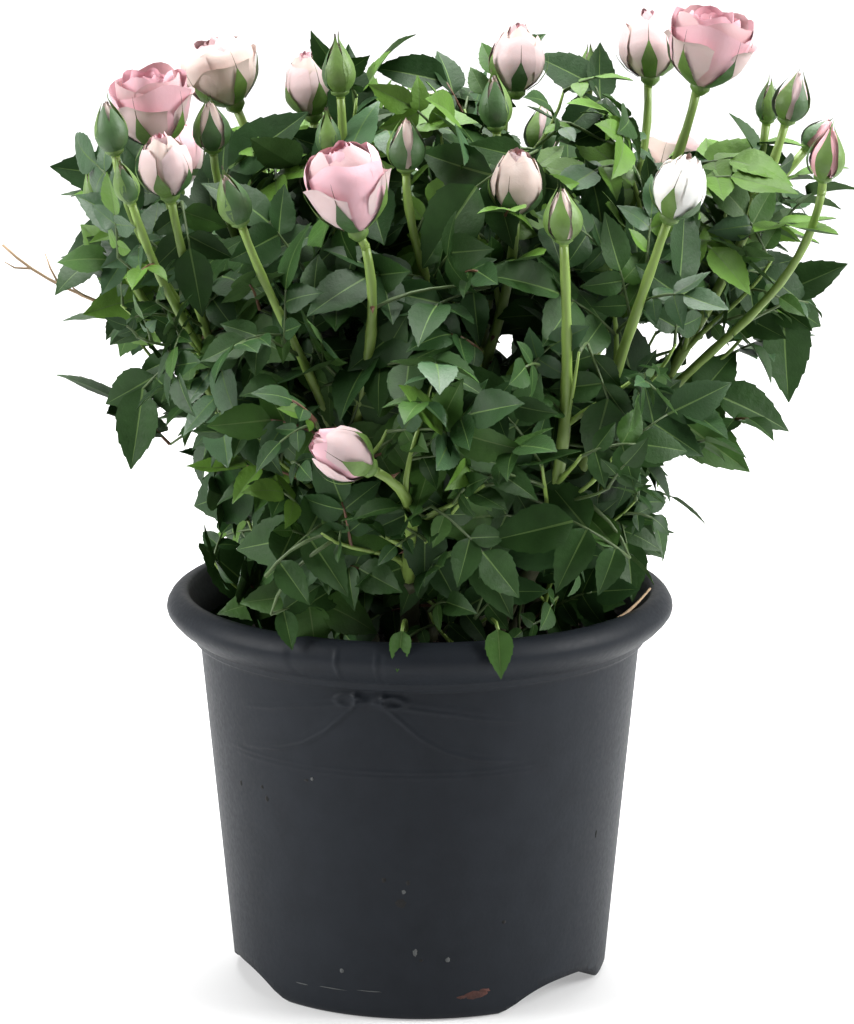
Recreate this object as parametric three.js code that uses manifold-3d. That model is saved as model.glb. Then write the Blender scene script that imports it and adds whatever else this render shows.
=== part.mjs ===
// A patio rose bush in full bud, growing in its round plastic nursery pot.
//
// Millimetres, +Z up. The origin is at the centre of the pot's flat underside, and -Y is the front.
// The pot is a tapered shell on a raised-corner base with three drainage arches, filled with compost.
// Canes rise from the compost, each a tapering limb. Where the leaves begin, a cane hands over to its
// foliage: one solid of stem, side shoots, compound leaves, buds and blooms. Short leafy shoots ring
// the foot of the bush and hide the compost.

import * as THREE from "three";
import { mergeVertices } from "three/addons/utils/BufferGeometryUtils.js";
import Module from "manifold-3d";

const wasm = await Module();
wasm.setup();
const { Manifold } = wasm;

// ---------------------------------------------------------------- driving dimensions (mm, degrees)

const POT = {
  height: 156,
  rimRadius: 100, // the widest line of the flared lip
  rimWidestZ: 149,
  lipRadius: 95, // the top edge
  lipInnerRadius: 91,
  neckRadius: 87, // where the wall meets the lip
  neckZ: 136,
  ledgeRadius: 89.5,
  baseRadius: 74,
  baseCorner: 4,
  wall: 2,
  floor: 2.5,
  sides: 32,
};
const ARCH = {
  azimuths: [50, -70, 170], // from the front, towards +X
  halfAngle: 25,
  height: 10,
  innerRadius: 40,
  holeRadius: 4,
  holeCentreRadius: 62,
};
const COMPOST = { top: 140 };
const GAP = 0.3; // between solids that touch on the real plant
const SMOOTHING = 0.06; // the joined solids lose details smaller than this

const BOUGH = { footRadius: 4, tipRadius: 3.1, footFlare: 1.4, sides: 5, rings: 3 };
const STEM = { radius: 2.7, sideRadius: 1.8, neckRadius: 1.5, sides: 4, rings: 3, headRise: 105 };
const TWIG = {
  radius: 1.2,
  tipRadius: 0.8,
  sides: 3,
  shares: [0.22, 0.42], // where twigs leave the main stem
  length: 46,
  internode: 29,
  leafyRise: 52, // from a leafy tip down to where its shoot leaves the main stem
};
const LEAF = {
  internode: 17, // along a stem, from one leaf to the next
  turn: 144, // degrees round the stem from one leaf to the next
  rachis: 33,
  leaflet: 30,
  widthShare: 0.68,
  thicknessShare: 0.045,
  spread: 60, // degrees between stem and leaf
  droop: 0.2,
  lowest: 146, // no leaf hangs lower than this
  // The crown's outline as [height, middle in X, radius]. A leaf that would pass it stays smaller.
  crown: [
    [150, 0, 98],
    [172, 4, 101],
    [204, 8, 116],
    [232, 14, 136],
    [262, 12, 152],
    [300, 12, 158],
    [352, 10, 154],
    [384, 8, 110],
  ],
  frontward: 0.6, // how far the leaves turn to the light in front
  stalkRadius: 0.8,
  solidRachis: 0.8, // a solid leaf's rachis and leaflets over a real one's,
  solidLeaflet: 1.45, // because a solid leaf has three leaflets and not five
};
// The leafless stretch under a bloom or bud: long on the stems that stand in front of the leaves.
const BARE_NECK = { front: 48, inside: 20, frontY: -85 };
const CLEARANCE = 0.6; // from one foliage mass to the next, and to limbs, compost and pot
const SKIRT = {
  count: 8,
  footRadius: 56,
  footTurn: 12,
  length: 66,
  lean: 0.4,
  internode: 13,
  leafShare: 0.8, // its leaves over those of the canes
};

// What a cane or side stem carries. Height and width are of the flower, without its stem.
const HEADS = {
  bloom: { height: 31, width: 31, sepals: 3, open: true, sides: 7 },
  opening: { height: 26, width: 20, sepals: 3, open: true, sides: 6 },
  bud: { height: 20, width: 13.5, sepals: 0, open: false, sides: 5 },
  smallBud: { height: 15, width: 10, sepals: 0, open: false, sides: 5 },
};

// Each foliage mass: the foot of its bough, the fork where bough and foliage meet, the heads on its
// stems, main stem first, and the tips of its leafy shoots and of its dry, bare ones. at is the top
// of a stem, where the head begins, and lean is how far the head leans in X and Y for each unit it
// rises.
const MASSES = [
  {
    name: "left",
    foot: [-38, -12],
    fork: [-56, -18, 188],
    heads: [
      { kind: "bloom", at: [-99, -30, 333], lean: [-0.15, -0.15] },
      { kind: "opening", at: [-93, -64, 320], lean: [-0.15, -0.2] },
      { kind: "bud", at: [-114, -60, 337], lean: [-0.15, -0.1] },
      { kind: "smallBud", at: [-122, -28, 310], lean: [-0.3, 0] },
      { kind: "smallBud", at: [-107, -80, 322], lean: [-0.27, -0.2] },
    ],
    leafy: [
      [-126, 2, 308],
      [-114, -10, 266],
      [-80, -30, 220],
      [-92, -70, 284],
      [-96, -38, 312],
    ],
    dry: [[-160, -24, 296]],
  },
  {
    name: "front_left",
    foot: [-20, -38],
    fork: [-28, -56, 186],
    heads: [
      { kind: "bloom", at: [-20, -95, 308], lean: [-0.22, -0.2] },
      { kind: "bud", at: [-66, -85, 314], lean: [-0.32, -0.2] },
    ],
    leafy: [
      [-62, -88, 240],
      [-45, -110, 262],
      [-46, -90, 208],
    ],
  },
  {
    name: "upper_left",
    foot: [-25, 8],
    fork: [-37, 12, 190],
    heads: [
      { kind: "bloom", at: [-71, 10, 344], lean: [-0.43, 0] },
      { kind: "bud", at: [-79, -20, 332], lean: [-0.06, -0.2] },
    ],
    leafy: [
      [-85, 38, 285],
      [-56, -5, 345],
      [-60, 45, 325],
      [-86, 6, 312],
    ],
  },
  {
    name: "centre_left",
    foot: [-12, -8],
    fork: [-17, -12, 192],
    heads: [
      { kind: "opening", at: [-41, 2, 341], lean: [-0.12, 0] },
      { kind: "bud", at: [-30, -35, 356], lean: [-0.07, -0.1] },
      { kind: "smallBud", at: [-34, -54, 336], lean: [-0.05, -0.1] },
    ],
    leafy: [
      [-24, -12, 358],
      [-42, -60, 292],
      [-5, 18, 345],
    ],
  },
  {
    name: "front_low",
    foot: [-4, -56],
    fork: [-4, -74, 176],
    heads: [{ kind: "opening", at: [-17, -118, 228], lean: [-1.75, -0.4] }],
    leafy: [
      [22, -108, 228],
      [-40, -102, 205],
      [6, -104, 268],
    ],
  },
  {
    name: "centre",
    foot: [3, -26],
    fork: [7, -38, 190],
    heads: [
      { kind: "opening", at: [36, -65, 313], lean: [0.03, -0.1] },
      { kind: "bud", at: [-5, -65, 331], lean: [0, -0.1] },
      { kind: "bud", at: [29, -45, 344], lean: [-0.05, -0.1] },
    ],
    leafy: [
      [2, -70, 306],
      [24, -82, 270],
      [8, -40, 344],
    ],
  },
  {
    name: "upper_centre",
    foot: [5, 4],
    fork: [9, 4, 192],
    heads: [
      { kind: "opening", at: [33, -5, 351], lean: [0.04, 0] },
      { kind: "bud", at: [48, 40, 322], lean: [0.05, 0.2] },
    ],
    leafy: [
      [56, -8, 356],
      [16, 5, 358],
      [10, 50, 325],
    ],
  },
  {
    name: "front_right",
    foot: [28, -46],
    fork: [46, -66, 186],
    heads: [{ kind: "bud", at: [53, -100, 310], lean: [-0.05, -0.1] }],
    leafy: [
      [45, -104, 236],
      [74, -92, 232],
      [60, -98, 278],
    ],
  },
  {
    name: "right_front",
    foot: [35, -24],
    fork: [54, -38, 190],
    heads: [{ kind: "opening", at: [92, -85, 315], lean: [0.33, -0.1] }],
    leafy: [
      [98, -72, 272],
      [92, -58, 232],
      [72, -62, 306],
    ],
  },
  {
    name: "upper_right",
    foot: [23, -2],
    fork: [36, -2, 194],
    heads: [
      { kind: "bloom", at: [106, -15, 354], lean: [0.2, -0.1] },
      { kind: "opening", at: [89, 20, 353], lean: [-0.04, 0.1] },
      { kind: "smallBud", at: [66, 22, 351], lean: [0.02, 0] },
    ],
    leafy: [
      [76, -18, 350],
      [108, 28, 326],
      [72, 45, 315],
      [98, -30, 322],
    ],
  },
  {
    name: "right",
    foot: [44, -2],
    fork: [68, -4, 188],
    heads: [
      { kind: "bud", at: [140, -20, 343], lean: [0.26, 0] },
      { kind: "smallBud", at: [134, -2, 341], lean: [0.09, 0] },
      { kind: "smallBud", at: [151, 14, 328], lean: [0.9, 0.2] },
      { kind: "bud", at: [152, -48, 321], lean: [0.14, -0.1] },
    ],
    leafy: [
      [138, -32, 300],
      [134, 6, 268],
      [114, -30, 236],
      [86, -8, 208],
      [122, 8, 320],
    ],
  },
  {
    name: "back_left",
    foot: [-32, 26],
    fork: [-50, 40, 184],
    heads: [{ kind: "bloom", at: [-98, 70, 300], lean: [-0.3, 0.3] }],
    leafy: [
      [-96, 42, 256],
      [-74, 78, 234],
      [-68, 88, 290],
    ],
  },
  {
    name: "back",
    foot: [-8, 34],
    fork: [-12, 56, 186],
    heads: [
      { kind: "opening", at: [6, 104, 312], lean: [0, 0.3] },
      { kind: "bud", at: [-50, 106, 304], lean: [-0.1, 0.3] },
    ],
    leafy: [
      [-32, 106, 244],
      [14, 104, 244],
      [-14, 76, 318],
    ],
  },
  {
    name: "back_right",
    foot: [24, 30],
    fork: [40, 48, 186],
    heads: [
      { kind: "bud", at: [64, 106, 306], lean: [0.1, 0.3] },
      { kind: "bloom", at: [100, 74, 292], lean: [0.3, 0.3] },
    ],
    leafy: [
      [64, 98, 246],
      [96, 60, 248],
      [46, 78, 318],
    ],
  },
];

const COLOURS = {
  pot: 0x3a3e44,
  compost: 0x1d1713,
  cane: 0x5f7a35,
  foliage: 0x2c5a2a,
};

// ---------------------------------------------------------------- small tools

const UP = new THREE.Vector3(0, 0, 1);
const FRONT = new THREE.Vector3(0, -1, 0);
const radians = THREE.MathUtils.degToRad;
const vec = (x, y, z) => new THREE.Vector3(x, y, z);
const along = (point, direction, distance) => point.clone().addScaledVector(direction, distance);

// A repeatable stream of numbers from 0 to 1.
function makeRandom(seed) {
  let state = seed >>> 0;
  return () => {
    state = (state + 0x6d2b79f5) >>> 0;
    let t = Math.imul(state ^ (state >>> 15), state | 1);
    t ^= t + Math.imul(t ^ (t >>> 7), t | 61);
    return ((t ^ (t >>> 14)) >>> 0) / 4294967296;
  };
}

function solidFromArrays(points, triangles) {
  const vertProperties = new Float32Array(points.flatMap((p) => [p.x, p.y, p.z]));
  const build = (flat) =>
    new Manifold(new wasm.Mesh({ numProp: 3, vertProperties, triVerts: new Uint32Array(flat) }));
  const solid = build(triangles.flat());
  return solid.volume() > 0 ? solid : build(triangles.map(([a, b, c]) => [a, c, b]).flat());
}

function solidFromGeometry(geometry) {
  const bare = geometry.index ? geometry.toNonIndexed() : geometry.clone();
  bare.deleteAttribute("normal");
  bare.deleteAttribute("uv");
  const merged = mergeVertices(bare, 1e-4);
  return new Manifold(
    new wasm.Mesh({
      numProp: 3,
      vertProperties: merged.attributes.position.array,
      triVerts: new Uint32Array(merged.index.array),
    }),
  );
}

// Whether two corners of a solid fall on one point, as where two solids only graze each other.
function isPinched(solid) {
  const { vertProperties: at } = solid.getMesh();
  const seen = new Set();
  for (let i = 0; i < at.length; i += 3)
    seen.add([at[i], at[i + 1], at[i + 2]].map((value) => Math.round(value * 2000)).join());
  return seen.size * 3 < at.length;
}

// Joins solids one by one. Each comes as a list of alternatives, of which the first that joins
// cleanly is taken. One that would only graze the rest is left out.
function joinCleanly(lists) {
  let joined = null;
  for (const list of lists)
    for (const solid of list) {
      const next = joined ? joined.add(solid) : solid;
      if (isPinched(next.simplify(SMOOTHING))) continue;
      joined = next;
      break;
    }
  return joined.simplify(SMOOTHING);
}

// The largest body of a solid, without the loose scraps.
function largestBody(solid) {
  const bodies = solid.decompose();
  return bodies.reduce((best, body) => (body.volume() > best.volume() ? body : best));
}

function meshOf(name, solid, colour, roughness) {
  const made = solid.getMesh();
  const geometry = new THREE.BufferGeometry()
    .setAttribute("position", new THREE.BufferAttribute(made.vertProperties, 3))
    .setIndex(new THREE.BufferAttribute(made.triVerts, 1));
  geometry.computeVertexNormals();
  const material = new THREE.MeshStandardMaterial({ color: colour, roughness, metalness: 0 });
  const mesh = new THREE.Mesh(geometry, material);
  mesh.name = name;
  return mesh;
}

// A lathe about Z. The profile's points are [radius, z] pairs that start and end on the axis.
function lathe(profile, sides) {
  const geometry = new THREE.LatheGeometry(
    profile.map(([r, z]) => new THREE.Vector2(r, z)),
    sides,
  );
  const solid = solidFromGeometry(geometry.rotateX(Math.PI / 2));
  return solid.volume() > 0 ? solid : solidFromGeometry(geometry.scale(-1, 1, 1));
}

// ---------------------------------------------------------------- stems

// The direction that points out of a stem at the given angle round it.
function outOfStem(tangent, angle) {
  const reference = Math.abs(tangent.x) > 0.9 ? vec(0, 1, 0) : vec(1, 0, 0);
  const u = tangent.clone().cross(reference).normalize();
  const v = tangent.clone().cross(u);
  return u.multiplyScalar(Math.cos(angle)).addScaledVector(v, Math.sin(angle));
}

// A stem's centre line, from start to end, leaving and arriving in the directions given.
function stemCurve(start, startDirection, end, endDirection) {
  const reach = start.distanceTo(end) * 0.36;
  return new THREE.CubicBezierCurve3(
    start,
    along(start, startDirection, reach),
    along(end, endDirection, -reach),
    end,
  );
}

// A tapering tube round a curve. phase turns its corners round the curve.
function tube(curve, radiusAt, sides, rings, phase = 0) {
  const points = [];
  const triangles = [];
  for (let i = 0; i <= rings; i++) {
    const share = i / rings;
    const centre = curve.getPoint(share);
    const tangent = curve.getTangent(share);
    for (let j = 0; j < sides; j++) {
      const out = outOfStem(tangent, phase + (2 * Math.PI * j) / sides);
      points.push(along(centre, out, radiusAt(share)));
    }
  }
  for (let i = 0; i < rings; i++) {
    for (let j = 0; j < sides; j++) {
      const a = i * sides + j;
      const b = i * sides + ((j + 1) % sides);
      triangles.push([a, b, b + sides], [a, b + sides, a + sides]);
    }
  }
  const last = rings * sides;
  for (let j = 1; j < sides - 1; j++) triangles.push([0, j + 1, j], [last, last + j, last + j + 1]);
  return solidFromArrays(points, triangles);
}

// ---------------------------------------------------------------- leaves

// The three corners of a leaflet at its widest line: its two edges and the ridge of its fold.
function widestLine(base, direction, normal, length) {
  const across = direction.clone().cross(normal).normalize();
  const middle = along(base, direction, length * 0.42);
  const halfWidth = length * LEAF.widthShare * 0.5;
  return [
    along(middle, across, halfWidth),
    along(middle, across, -halfWidth),
    along(middle, normal, length * LEAF.thicknessShare),
  ];
}

// A leaflet of six faces, folded along its length, from a base on its carrier's centre line.
function leaflet(base, direction, normal, length) {
  const points = [base, along(base, direction, length)];
  points.push(...widestLine(base, direction, normal, length));
  return solidFromArrays(points, [
    [0, 4, 2],
    [0, 3, 4],
    [0, 2, 3],
    [1, 2, 4],
    [1, 4, 3],
    [1, 3, 2],
  ]);
}

// A leaf's three-sided stalk running on into its end leaflet.
function stalkAndEndLeaflet(root, end, direction, normal, length) {
  const across = direction.clone().cross(normal).normalize();
  const corners = [
    [0.87, -0.5],
    [-0.87, -0.5],
    [0, 1],
  ];
  const points = [root, end].flatMap((centre) =>
    corners.map(([x, y]) =>
      along(along(centre, across, x * LEAF.stalkRadius), normal, y * LEAF.stalkRadius),
    ),
  );
  points.push(...widestLine(end, direction, normal, length), along(end, direction, length));
  const triangles = [[0, 1, 2]];
  for (const ring of [0, 3])
    for (const [a, b] of [
      [0, 1],
      [1, 2],
      [2, 0],
    ])
      triangles.push([ring + a, ring + b + 3, ring + b], [ring + a, ring + a + 3, ring + b + 3]);
  triangles.push([6, 9, 7], [7, 9, 8], [8, 9, 6]);
  return solidFromArrays(points, triangles);
}

// The draws that fix one leaf, always five of them, so that a skipped leaf changes no other.
function drawLeaf(random) {
  return {
    turn: (random() - 0.5) * 0.7,
    spread: (random() - 0.5) * 0.6,
    size: 0.8 + 0.4 * random(),
    roll: (random() - 0.5) * 1.6,
    droop: 0.5 + random(),
  };
}

// A compound leaf: a stalk with an end leaflet and a pair of side leaflets.
function compoundLeaf(stem, share, azimuth, draw, scale) {
  const root = stem.getPoint(share);
  const tangent = stem.getTangent(share);
  const spread = (radians(LEAF.spread) + draw.spread) * (1 - 0.4 * share * share);
  const direction = tangent
    .clone()
    .multiplyScalar(Math.cos(spread))
    .addScaledVector(outOfStem(tangent, azimuth + draw.turn), Math.sin(spread));
  const length = LEAF.rachis * LEAF.solidRachis * draw.size * scale;
  const droop = LEAF.droop * draw.droop;
  const end = along(root, direction, length).addScaledVector(UP, -droop * length);
  const endDirection = direction.clone().addScaledVector(UP, -2 * droop).normalize();
  const facing = vec(root.x, root.y, 0).normalize().add(UP).addScaledVector(FRONT, LEAF.frontward);
  const normal = facing
    .addScaledVector(endDirection, -facing.dot(endDirection))
    .normalize()
    .applyAxisAngle(endDirection, draw.roll);
  const across = endDirection.clone().cross(normal);
  const size = LEAF.leaflet * LEAF.solidLeaflet * draw.size * scale;
  const solids = [stalkAndEndLeaflet(root, end, endDirection, normal, size)];
  for (const [place, side] of [
    [0.52, 1],
    [0.6, -1],
  ]) {
    const outward = endDirection.clone().multiplyScalar(0.35).addScaledVector(across, side);
    solids.push(leaflet(root.clone().lerp(end, place), outward.normalize(), normal, size * 0.8));
  }
  return Manifold.union(solids);
}

// ---------------------------------------------------------------- buds and blooms

const axisOf = (head) => vec(head.lean[0], head.lean[1], 1).normalize();

// Radius and height shares of a flower's outline, from its stem to its top.
const OUTLINES = {
  open: [
    [0.2, 0],
    [0.85, 0.25],
    [1, 0.6],
    [0.6, 1],
  ],
  closed: [
    [0.3, 0],
    [1, 0.3],
    [0.6, 0.7],
  ],
};

function headSolids(head) {
  const size = HEADS[head.kind];
  const axis = axisOf(head);
  const base = vec(...head.at);
  const outline = size.open ? OUTLINES.open : OUTLINES.closed;
  const profile = outline.map(([r, z]) => [(r * size.width) / 2, z * size.height - 1]);
  profile.unshift([0, -1]);
  profile.push([0, size.height - (size.open ? 3 : 0)]);
  const turn = new THREE.Quaternion().setFromUnitVectors(UP, axis);
  const place = new THREE.Matrix4().compose(base, turn, vec(1, 1, 1));
  const solids = [lathe(profile, size.sides).transform(place.elements)];
  for (let i = 0; i < size.sepals; i++) {
    const out = outOfStem(axis, (2 * Math.PI * i) / size.sepals + 0.2);
    const direction = axis.clone().multiplyScalar(0.95).add(out).normalize();
    const root = along(base, axis, 3.5 + i * 0.4);
    solids.push(leaflet(root, direction, out, size.height * 0.72));
  }
  return solids;
}

// ---------------------------------------------------------------- the plant's skeleton

// Where a stem to the given tip leaves the main one: a set rise below its tip, or by the fork,
// where each stem in turn sits a little higher than the last.
function shareBelow(mass, tipHeight, rise, place) {
  const bottom = mass.fork.z;
  const share = (tipHeight - rise - bottom) / (mass.heads[0].at[2] - bottom);
  return THREE.MathUtils.clamp(share, 0.04 + 0.023 * place, 0.7);
}

function sideStem(mass, tip, tipDirection, rise, place) {
  const share = shareBelow(mass, tip.z, rise, place);
  const start = mass.main.getPoint(share);
  const away = tip.clone().sub(start).normalize().add(mass.main.getTangent(share)).normalize();
  return stemCurve(start, away, tip, tipDirection);
}

// A twig: it leaves a stem at a drawn angle, more often outwards, and curves upwards.
function twigOf(stem, share, random) {
  const start = stem.getPoint(share);
  const tangent = stem.getTangent(share);
  const turn = Math.atan2(start.y, start.x) + (random() - 0.5) * 4.4;
  const length = TWIG.length * (0.75 + 0.5 * random());
  const out = vec(Math.cos(turn), Math.sin(turn), 0);
  const end = along(start, tangent, length * 0.66).addScaledVector(out, length * 0.66);
  const rise = tangent.clone().addScaledVector(out, 0.35).normalize();
  return stemCurve(start, tangent.clone().add(out).normalize(), end, rise);
}

function growSkeleton(plan, index) {
  const mass = { ...plan, random: makeRandom(101 + index), fork: vec(...plan.fork), twigs: [] };
  const foot = vec(...plan.foot, COMPOST.top + GAP);
  const [mainHead, ...otherHeads] = plan.heads;
  const tip = vec(...mainHead.at);
  const lean = tip.clone().sub(foot).normalize().add(mass.fork.clone().sub(foot).normalize());
  lean.normalize();
  mass.limb = stemCurve(foot, UP, mass.fork, lean);
  mass.main = stemCurve(along(mass.fork, lean, GAP), lean, tip, axisOf(mainHead));
  mass.flowering = otherHeads.map((head, i) =>
    sideStem(mass, vec(...head.at), axisOf(head), STEM.headRise, i),
  );
  mass.shoots = plan.leafy.map((point, i) => {
    const end = vec(...point);
    const out = end.clone().sub(mass.fork).normalize().add(UP).normalize();
    return sideStem(mass, end, out, TWIG.leafyRise, i + 0.5);
  });
  mass.dryTwigs = (plan.dry ?? []).map((point, i) => {
    const end = vec(...point);
    return sideStem(mass, end, end.clone().sub(mass.fork).normalize(), TWIG.leafyRise, i + 0.25);
  });
  mass.segments = [
    ...segmentsOf(mass.main, STEM.radius),
    ...mass.flowering.flatMap((stem) => segmentsOf(stem, STEM.sideRadius)),
    ...[...mass.shoots, ...mass.dryTwigs].flatMap((stem) => segmentsOf(stem, TWIG.radius)),
    ...segmentsOf(mass.limb, BOUGH.footRadius),
    ...mass.heads.map(headSegment),
  ];
  return mass;
}

// A low shoot of the ring round the foot: one leafy stem without a bough, leaning out over the rim.
function growLowShoot(index) {
  const angle = radians(SKIRT.footTurn) + (2 * Math.PI * index) / SKIRT.count;
  const out = vec(Math.sin(angle), -Math.cos(angle), 0);
  const foot = out.clone().multiplyScalar(SKIRT.footRadius).setZ(COMPOST.top + GAP);
  const tip = along(foot, out, SKIRT.length * SKIRT.lean * 0.6).add(vec(0, 0, SKIRT.length * 0.8));
  const main = stemCurve(foot, UP, tip, along(UP, out, SKIRT.lean).normalize());
  return {
    name: "low_shoot_" + (index + 1),
    random: makeRandom(901 + index),
    main,
    flowering: [],
    shoots: [],
    dryTwigs: [],
    twigs: [],
    heads: [],
    segments: segmentsOf(main, TWIG.radius),
  };
}

// ---------------------------------------------------------------- who stands where

function segmentsOf(curve, radius) {
  const points = curve.getPoints(6);
  return points.slice(1).map((b, i) => ({ line: new THREE.Line3(points[i], b), radius }));
}

function headSegment(head) {
  const size = HEADS[head.kind];
  const base = vec(...head.at);
  const line = new THREE.Line3(base, along(base, axisOf(head), size.height));
  return { line, radius: size.width * 0.5 };
}

// Whether all the points are clear of every other mass's stems and heads.
function clearOfOthers(points, mass, masses) {
  const nearest = new THREE.Vector3();
  return masses.every(
    (other) =>
      other === mass ||
      other.segments.every(({ line, radius }) =>
        points.every((point) => {
          line.closestPointToPoint(point, true, nearest);
          return nearest.distanceTo(point) > radius + CLEARANCE + TWIG.radius;
        }),
      ),
  );
}

// Twigs are drawn in turn. One that would touch another mass is left out.
function growTwigs(mass, masses) {
  for (const share of mass.heads.length ? TWIG.shares : []) {
    const twig = twigOf(mass.main, share, mass.random);
    if (clearOfOthers(twig.getPoints(5).slice(1), mass, masses)) mass.twigs.push(twig);
  }
  for (const twig of mass.twigs) mass.segments.push(...segmentsOf(twig, TWIG.radius));
}

// ---------------------------------------------------------------- building the masses

const taper = (from, to) => (share) => from + (to - from) * share;

function boughSolid(mass) {
  const radius = (share) =>
    taper(BOUGH.footRadius, BOUGH.tipRadius)(share) * (share === 0 ? BOUGH.footFlare : 1);
  return tube(mass.limb, radius, BOUGH.sides, BOUGH.rings);
}

// A mass's stems and heads, before any leaf. turned holds a stem's solid at four phases.
function stemParts(mass) {
  const thick = mass.heads.length ? STEM.radius : TWIG.radius * 1.2;
  const thin = mass.heads.length ? STEM.neckRadius : TWIG.tipRadius;
  const parts = [];
  const add = (stem, radius, sides, rings) => {
    const turned = [0, 0.35, 0.7, 1.05].map((phase) => tube(stem, radius, sides, rings, phase));
    parts.push({ stem, turned });
  };
  add(mass.main, taper(thick, thin), STEM.sides, STEM.rings);
  for (const stem of mass.flowering)
    add(stem, taper(STEM.sideRadius, STEM.neckRadius), TWIG.sides, STEM.rings);
  for (const stem of [...mass.shoots, ...mass.dryTwigs, ...mass.twigs])
    add(stem, taper(TWIG.radius, TWIG.tipRadius), TWIG.sides, mass.twigs.includes(stem) ? 1 : 2);
  for (const head of mass.heads) parts.push({ turned: [Manifold.union(headSolids(head))] });
  return parts.map((part) => ({ ...part, mass, solid: part.turned[0], box: boxOf(part.turned[0]) }));
}

const neckUnder = (head) => (head.at[1] <= BARE_NECK.frontY ? BARE_NECK.front : BARE_NECK.inside);

// Every leaf that a mass could carry, in the order of growth.
function leafPlans(mass) {
  const flowering = mass.heads.length > 0;
  const plans = [];
  const lineUp = (stem, from, bareEnd, step, every) => {
    const length = stem.getLength();
    const start = mass.random() * 2 * Math.PI;
    for (let i = 0, s = from; s < length - bareEnd; i += 1, s += step) {
      const draw = drawLeaf(mass.random);
      const azimuth = start + i * radians(LEAF.turn);
      const shrink = (1 - 0.25 * (s / length)) * (flowering ? 1 : SKIRT.leafShare);
      if (i % every === 0)
        plans.push({ mass, stem, share: s / length, azimuth, draw, shrink });
    }
  };
  if (flowering) lineUp(mass.main, 8, neckUnder(mass.heads[0]), LEAF.internode, 2);
  else lineUp(mass.main, 22, -1, SKIRT.internode, 1);
  mass.flowering.forEach((stem, i) =>
    lineUp(stem, 14, neckUnder(mass.heads[i + 1]), LEAF.internode, 2),
  );
  for (const stem of mass.shoots) lineUp(stem, 15, -1, TWIG.internode, 1);
  for (const stem of mass.twigs) lineUp(stem, 18, -1, TWIG.internode, 1);
  return plans;
}

// Whether a solid stays inside the crown's outline and over its lowest leaf.
function isInsideCrown(solid) {
  const { vertProperties: at } = solid.getMesh();
  for (let i = 0; i < at.length; i += 3) {
    const z = at[i + 2];
    const upper = LEAF.crown.findIndex(([height]) => height > z);
    if (z < LEAF.lowest || upper < 0) return false;
    const [[z0, x0, r0], [z1, x1, r1]] = [LEAF.crown[Math.max(upper - 1, 0)], LEAF.crown[upper]];
    const share = upper === 0 ? 1 : (z - z0) / (z1 - z0);
    const middle = x0 + (x1 - x0) * share;
    if (Math.hypot(at[i] - middle, at[i + 1]) > r0 + (r1 - r0) * share) return false;
  }
  return true;
}

// The leaf solid of a plan, or null where it would come too near to anything but its own stem.
function placeLeaf(plan, obstacles) {
  for (const scale of [1, 0.8, 0.65, 0.5])
    for (const turn of [0, 0.6, -0.6, 1.2, -1.2]) {
      const { mass, stem, share, azimuth, draw, shrink } = plan;
      const solid = compoundLeaf(stem, share, azimuth + turn, draw, scale * shrink);
      if (!isInsideCrown(solid)) continue;
      const box = boxOf(solid);
      const free = obstacles.every(
        (obstacle) =>
          obstacle.stem === stem ||
          !obstacle.box.intersectsBox(box) ||
          obstacle.solid.minGap(solid, CLEARANCE + 1) > (obstacle.mass === mass ? GAP / 2 : CLEARANCE),
      );
      if (free) return { mass, stem, solid, box };
    }
  return null;
}

function boxOf(solid) {
  const { min, max } = solid.boundingBox();
  return new THREE.Box3(vec(...min), vec(...max)).expandByScalar(CLEARANCE);
}

// ---------------------------------------------------------------- pot and compost

// A drainage arch: a round-topped tunnel under the base's corner, running in from the wall.
function archTunnel(azimuth, margin) {
  const height = ARCH.height + margin;
  const halfWidth = POT.baseRadius * Math.sin(radians(ARCH.halfAngle)) + margin;
  const shape = new THREE.Shape();
  shape.moveTo(-halfWidth, -5);
  shape.lineTo(-halfWidth, 0);
  for (const [x, z] of [
    [-0.75, 0.55],
    [-0.45, 0.93],
    [0, 1],
    [0.45, 0.93],
    [0.75, 0.55],
  ])
    shape.lineTo(x * halfWidth, z * height);
  shape.lineTo(halfWidth, 0);
  shape.lineTo(halfWidth, -5);
  const depth = POT.baseRadius + 10 - ARCH.innerRadius + margin;
  const geometry = new THREE.ExtrudeGeometry(shape, { depth, bevelEnabled: false });
  geometry
    .rotateX(Math.PI / 2)
    .translate(0, -ARCH.innerRadius + margin, 0)
    .rotateZ(radians(azimuth));
  return solidFromGeometry(geometry);
}

function drainHole(azimuth) {
  const geometry = new THREE.CylinderGeometry(ARCH.holeRadius, ARCH.holeRadius, 8, 8)
    .rotateX(Math.PI / 2)
    .translate(0, -ARCH.holeCentreRadius, ARCH.height)
    .rotateZ(radians(azimuth));
  return solidFromGeometry(geometry);
}

// The space inside the pot, up to the given height, taken in by a margin all round.
function potInside(top, margin) {
  const wallRadius = (z) =>
    POT.baseRadius + ((POT.neckRadius - POT.baseRadius) * z) / POT.neckZ - POT.wall - margin;
  const floor = POT.floor + margin;
  const profile = [
    [0, floor],
    [wallRadius(floor) - POT.baseCorner, floor],
    [wallRadius(floor + POT.baseCorner), floor + POT.baseCorner],
  ];
  const flare = (top - POT.neckZ) * 0.09;
  profile.push([wallRadius(POT.neckZ), POT.neckZ], [wallRadius(POT.neckZ) + flare, top]);
  return profile;
}

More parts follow.
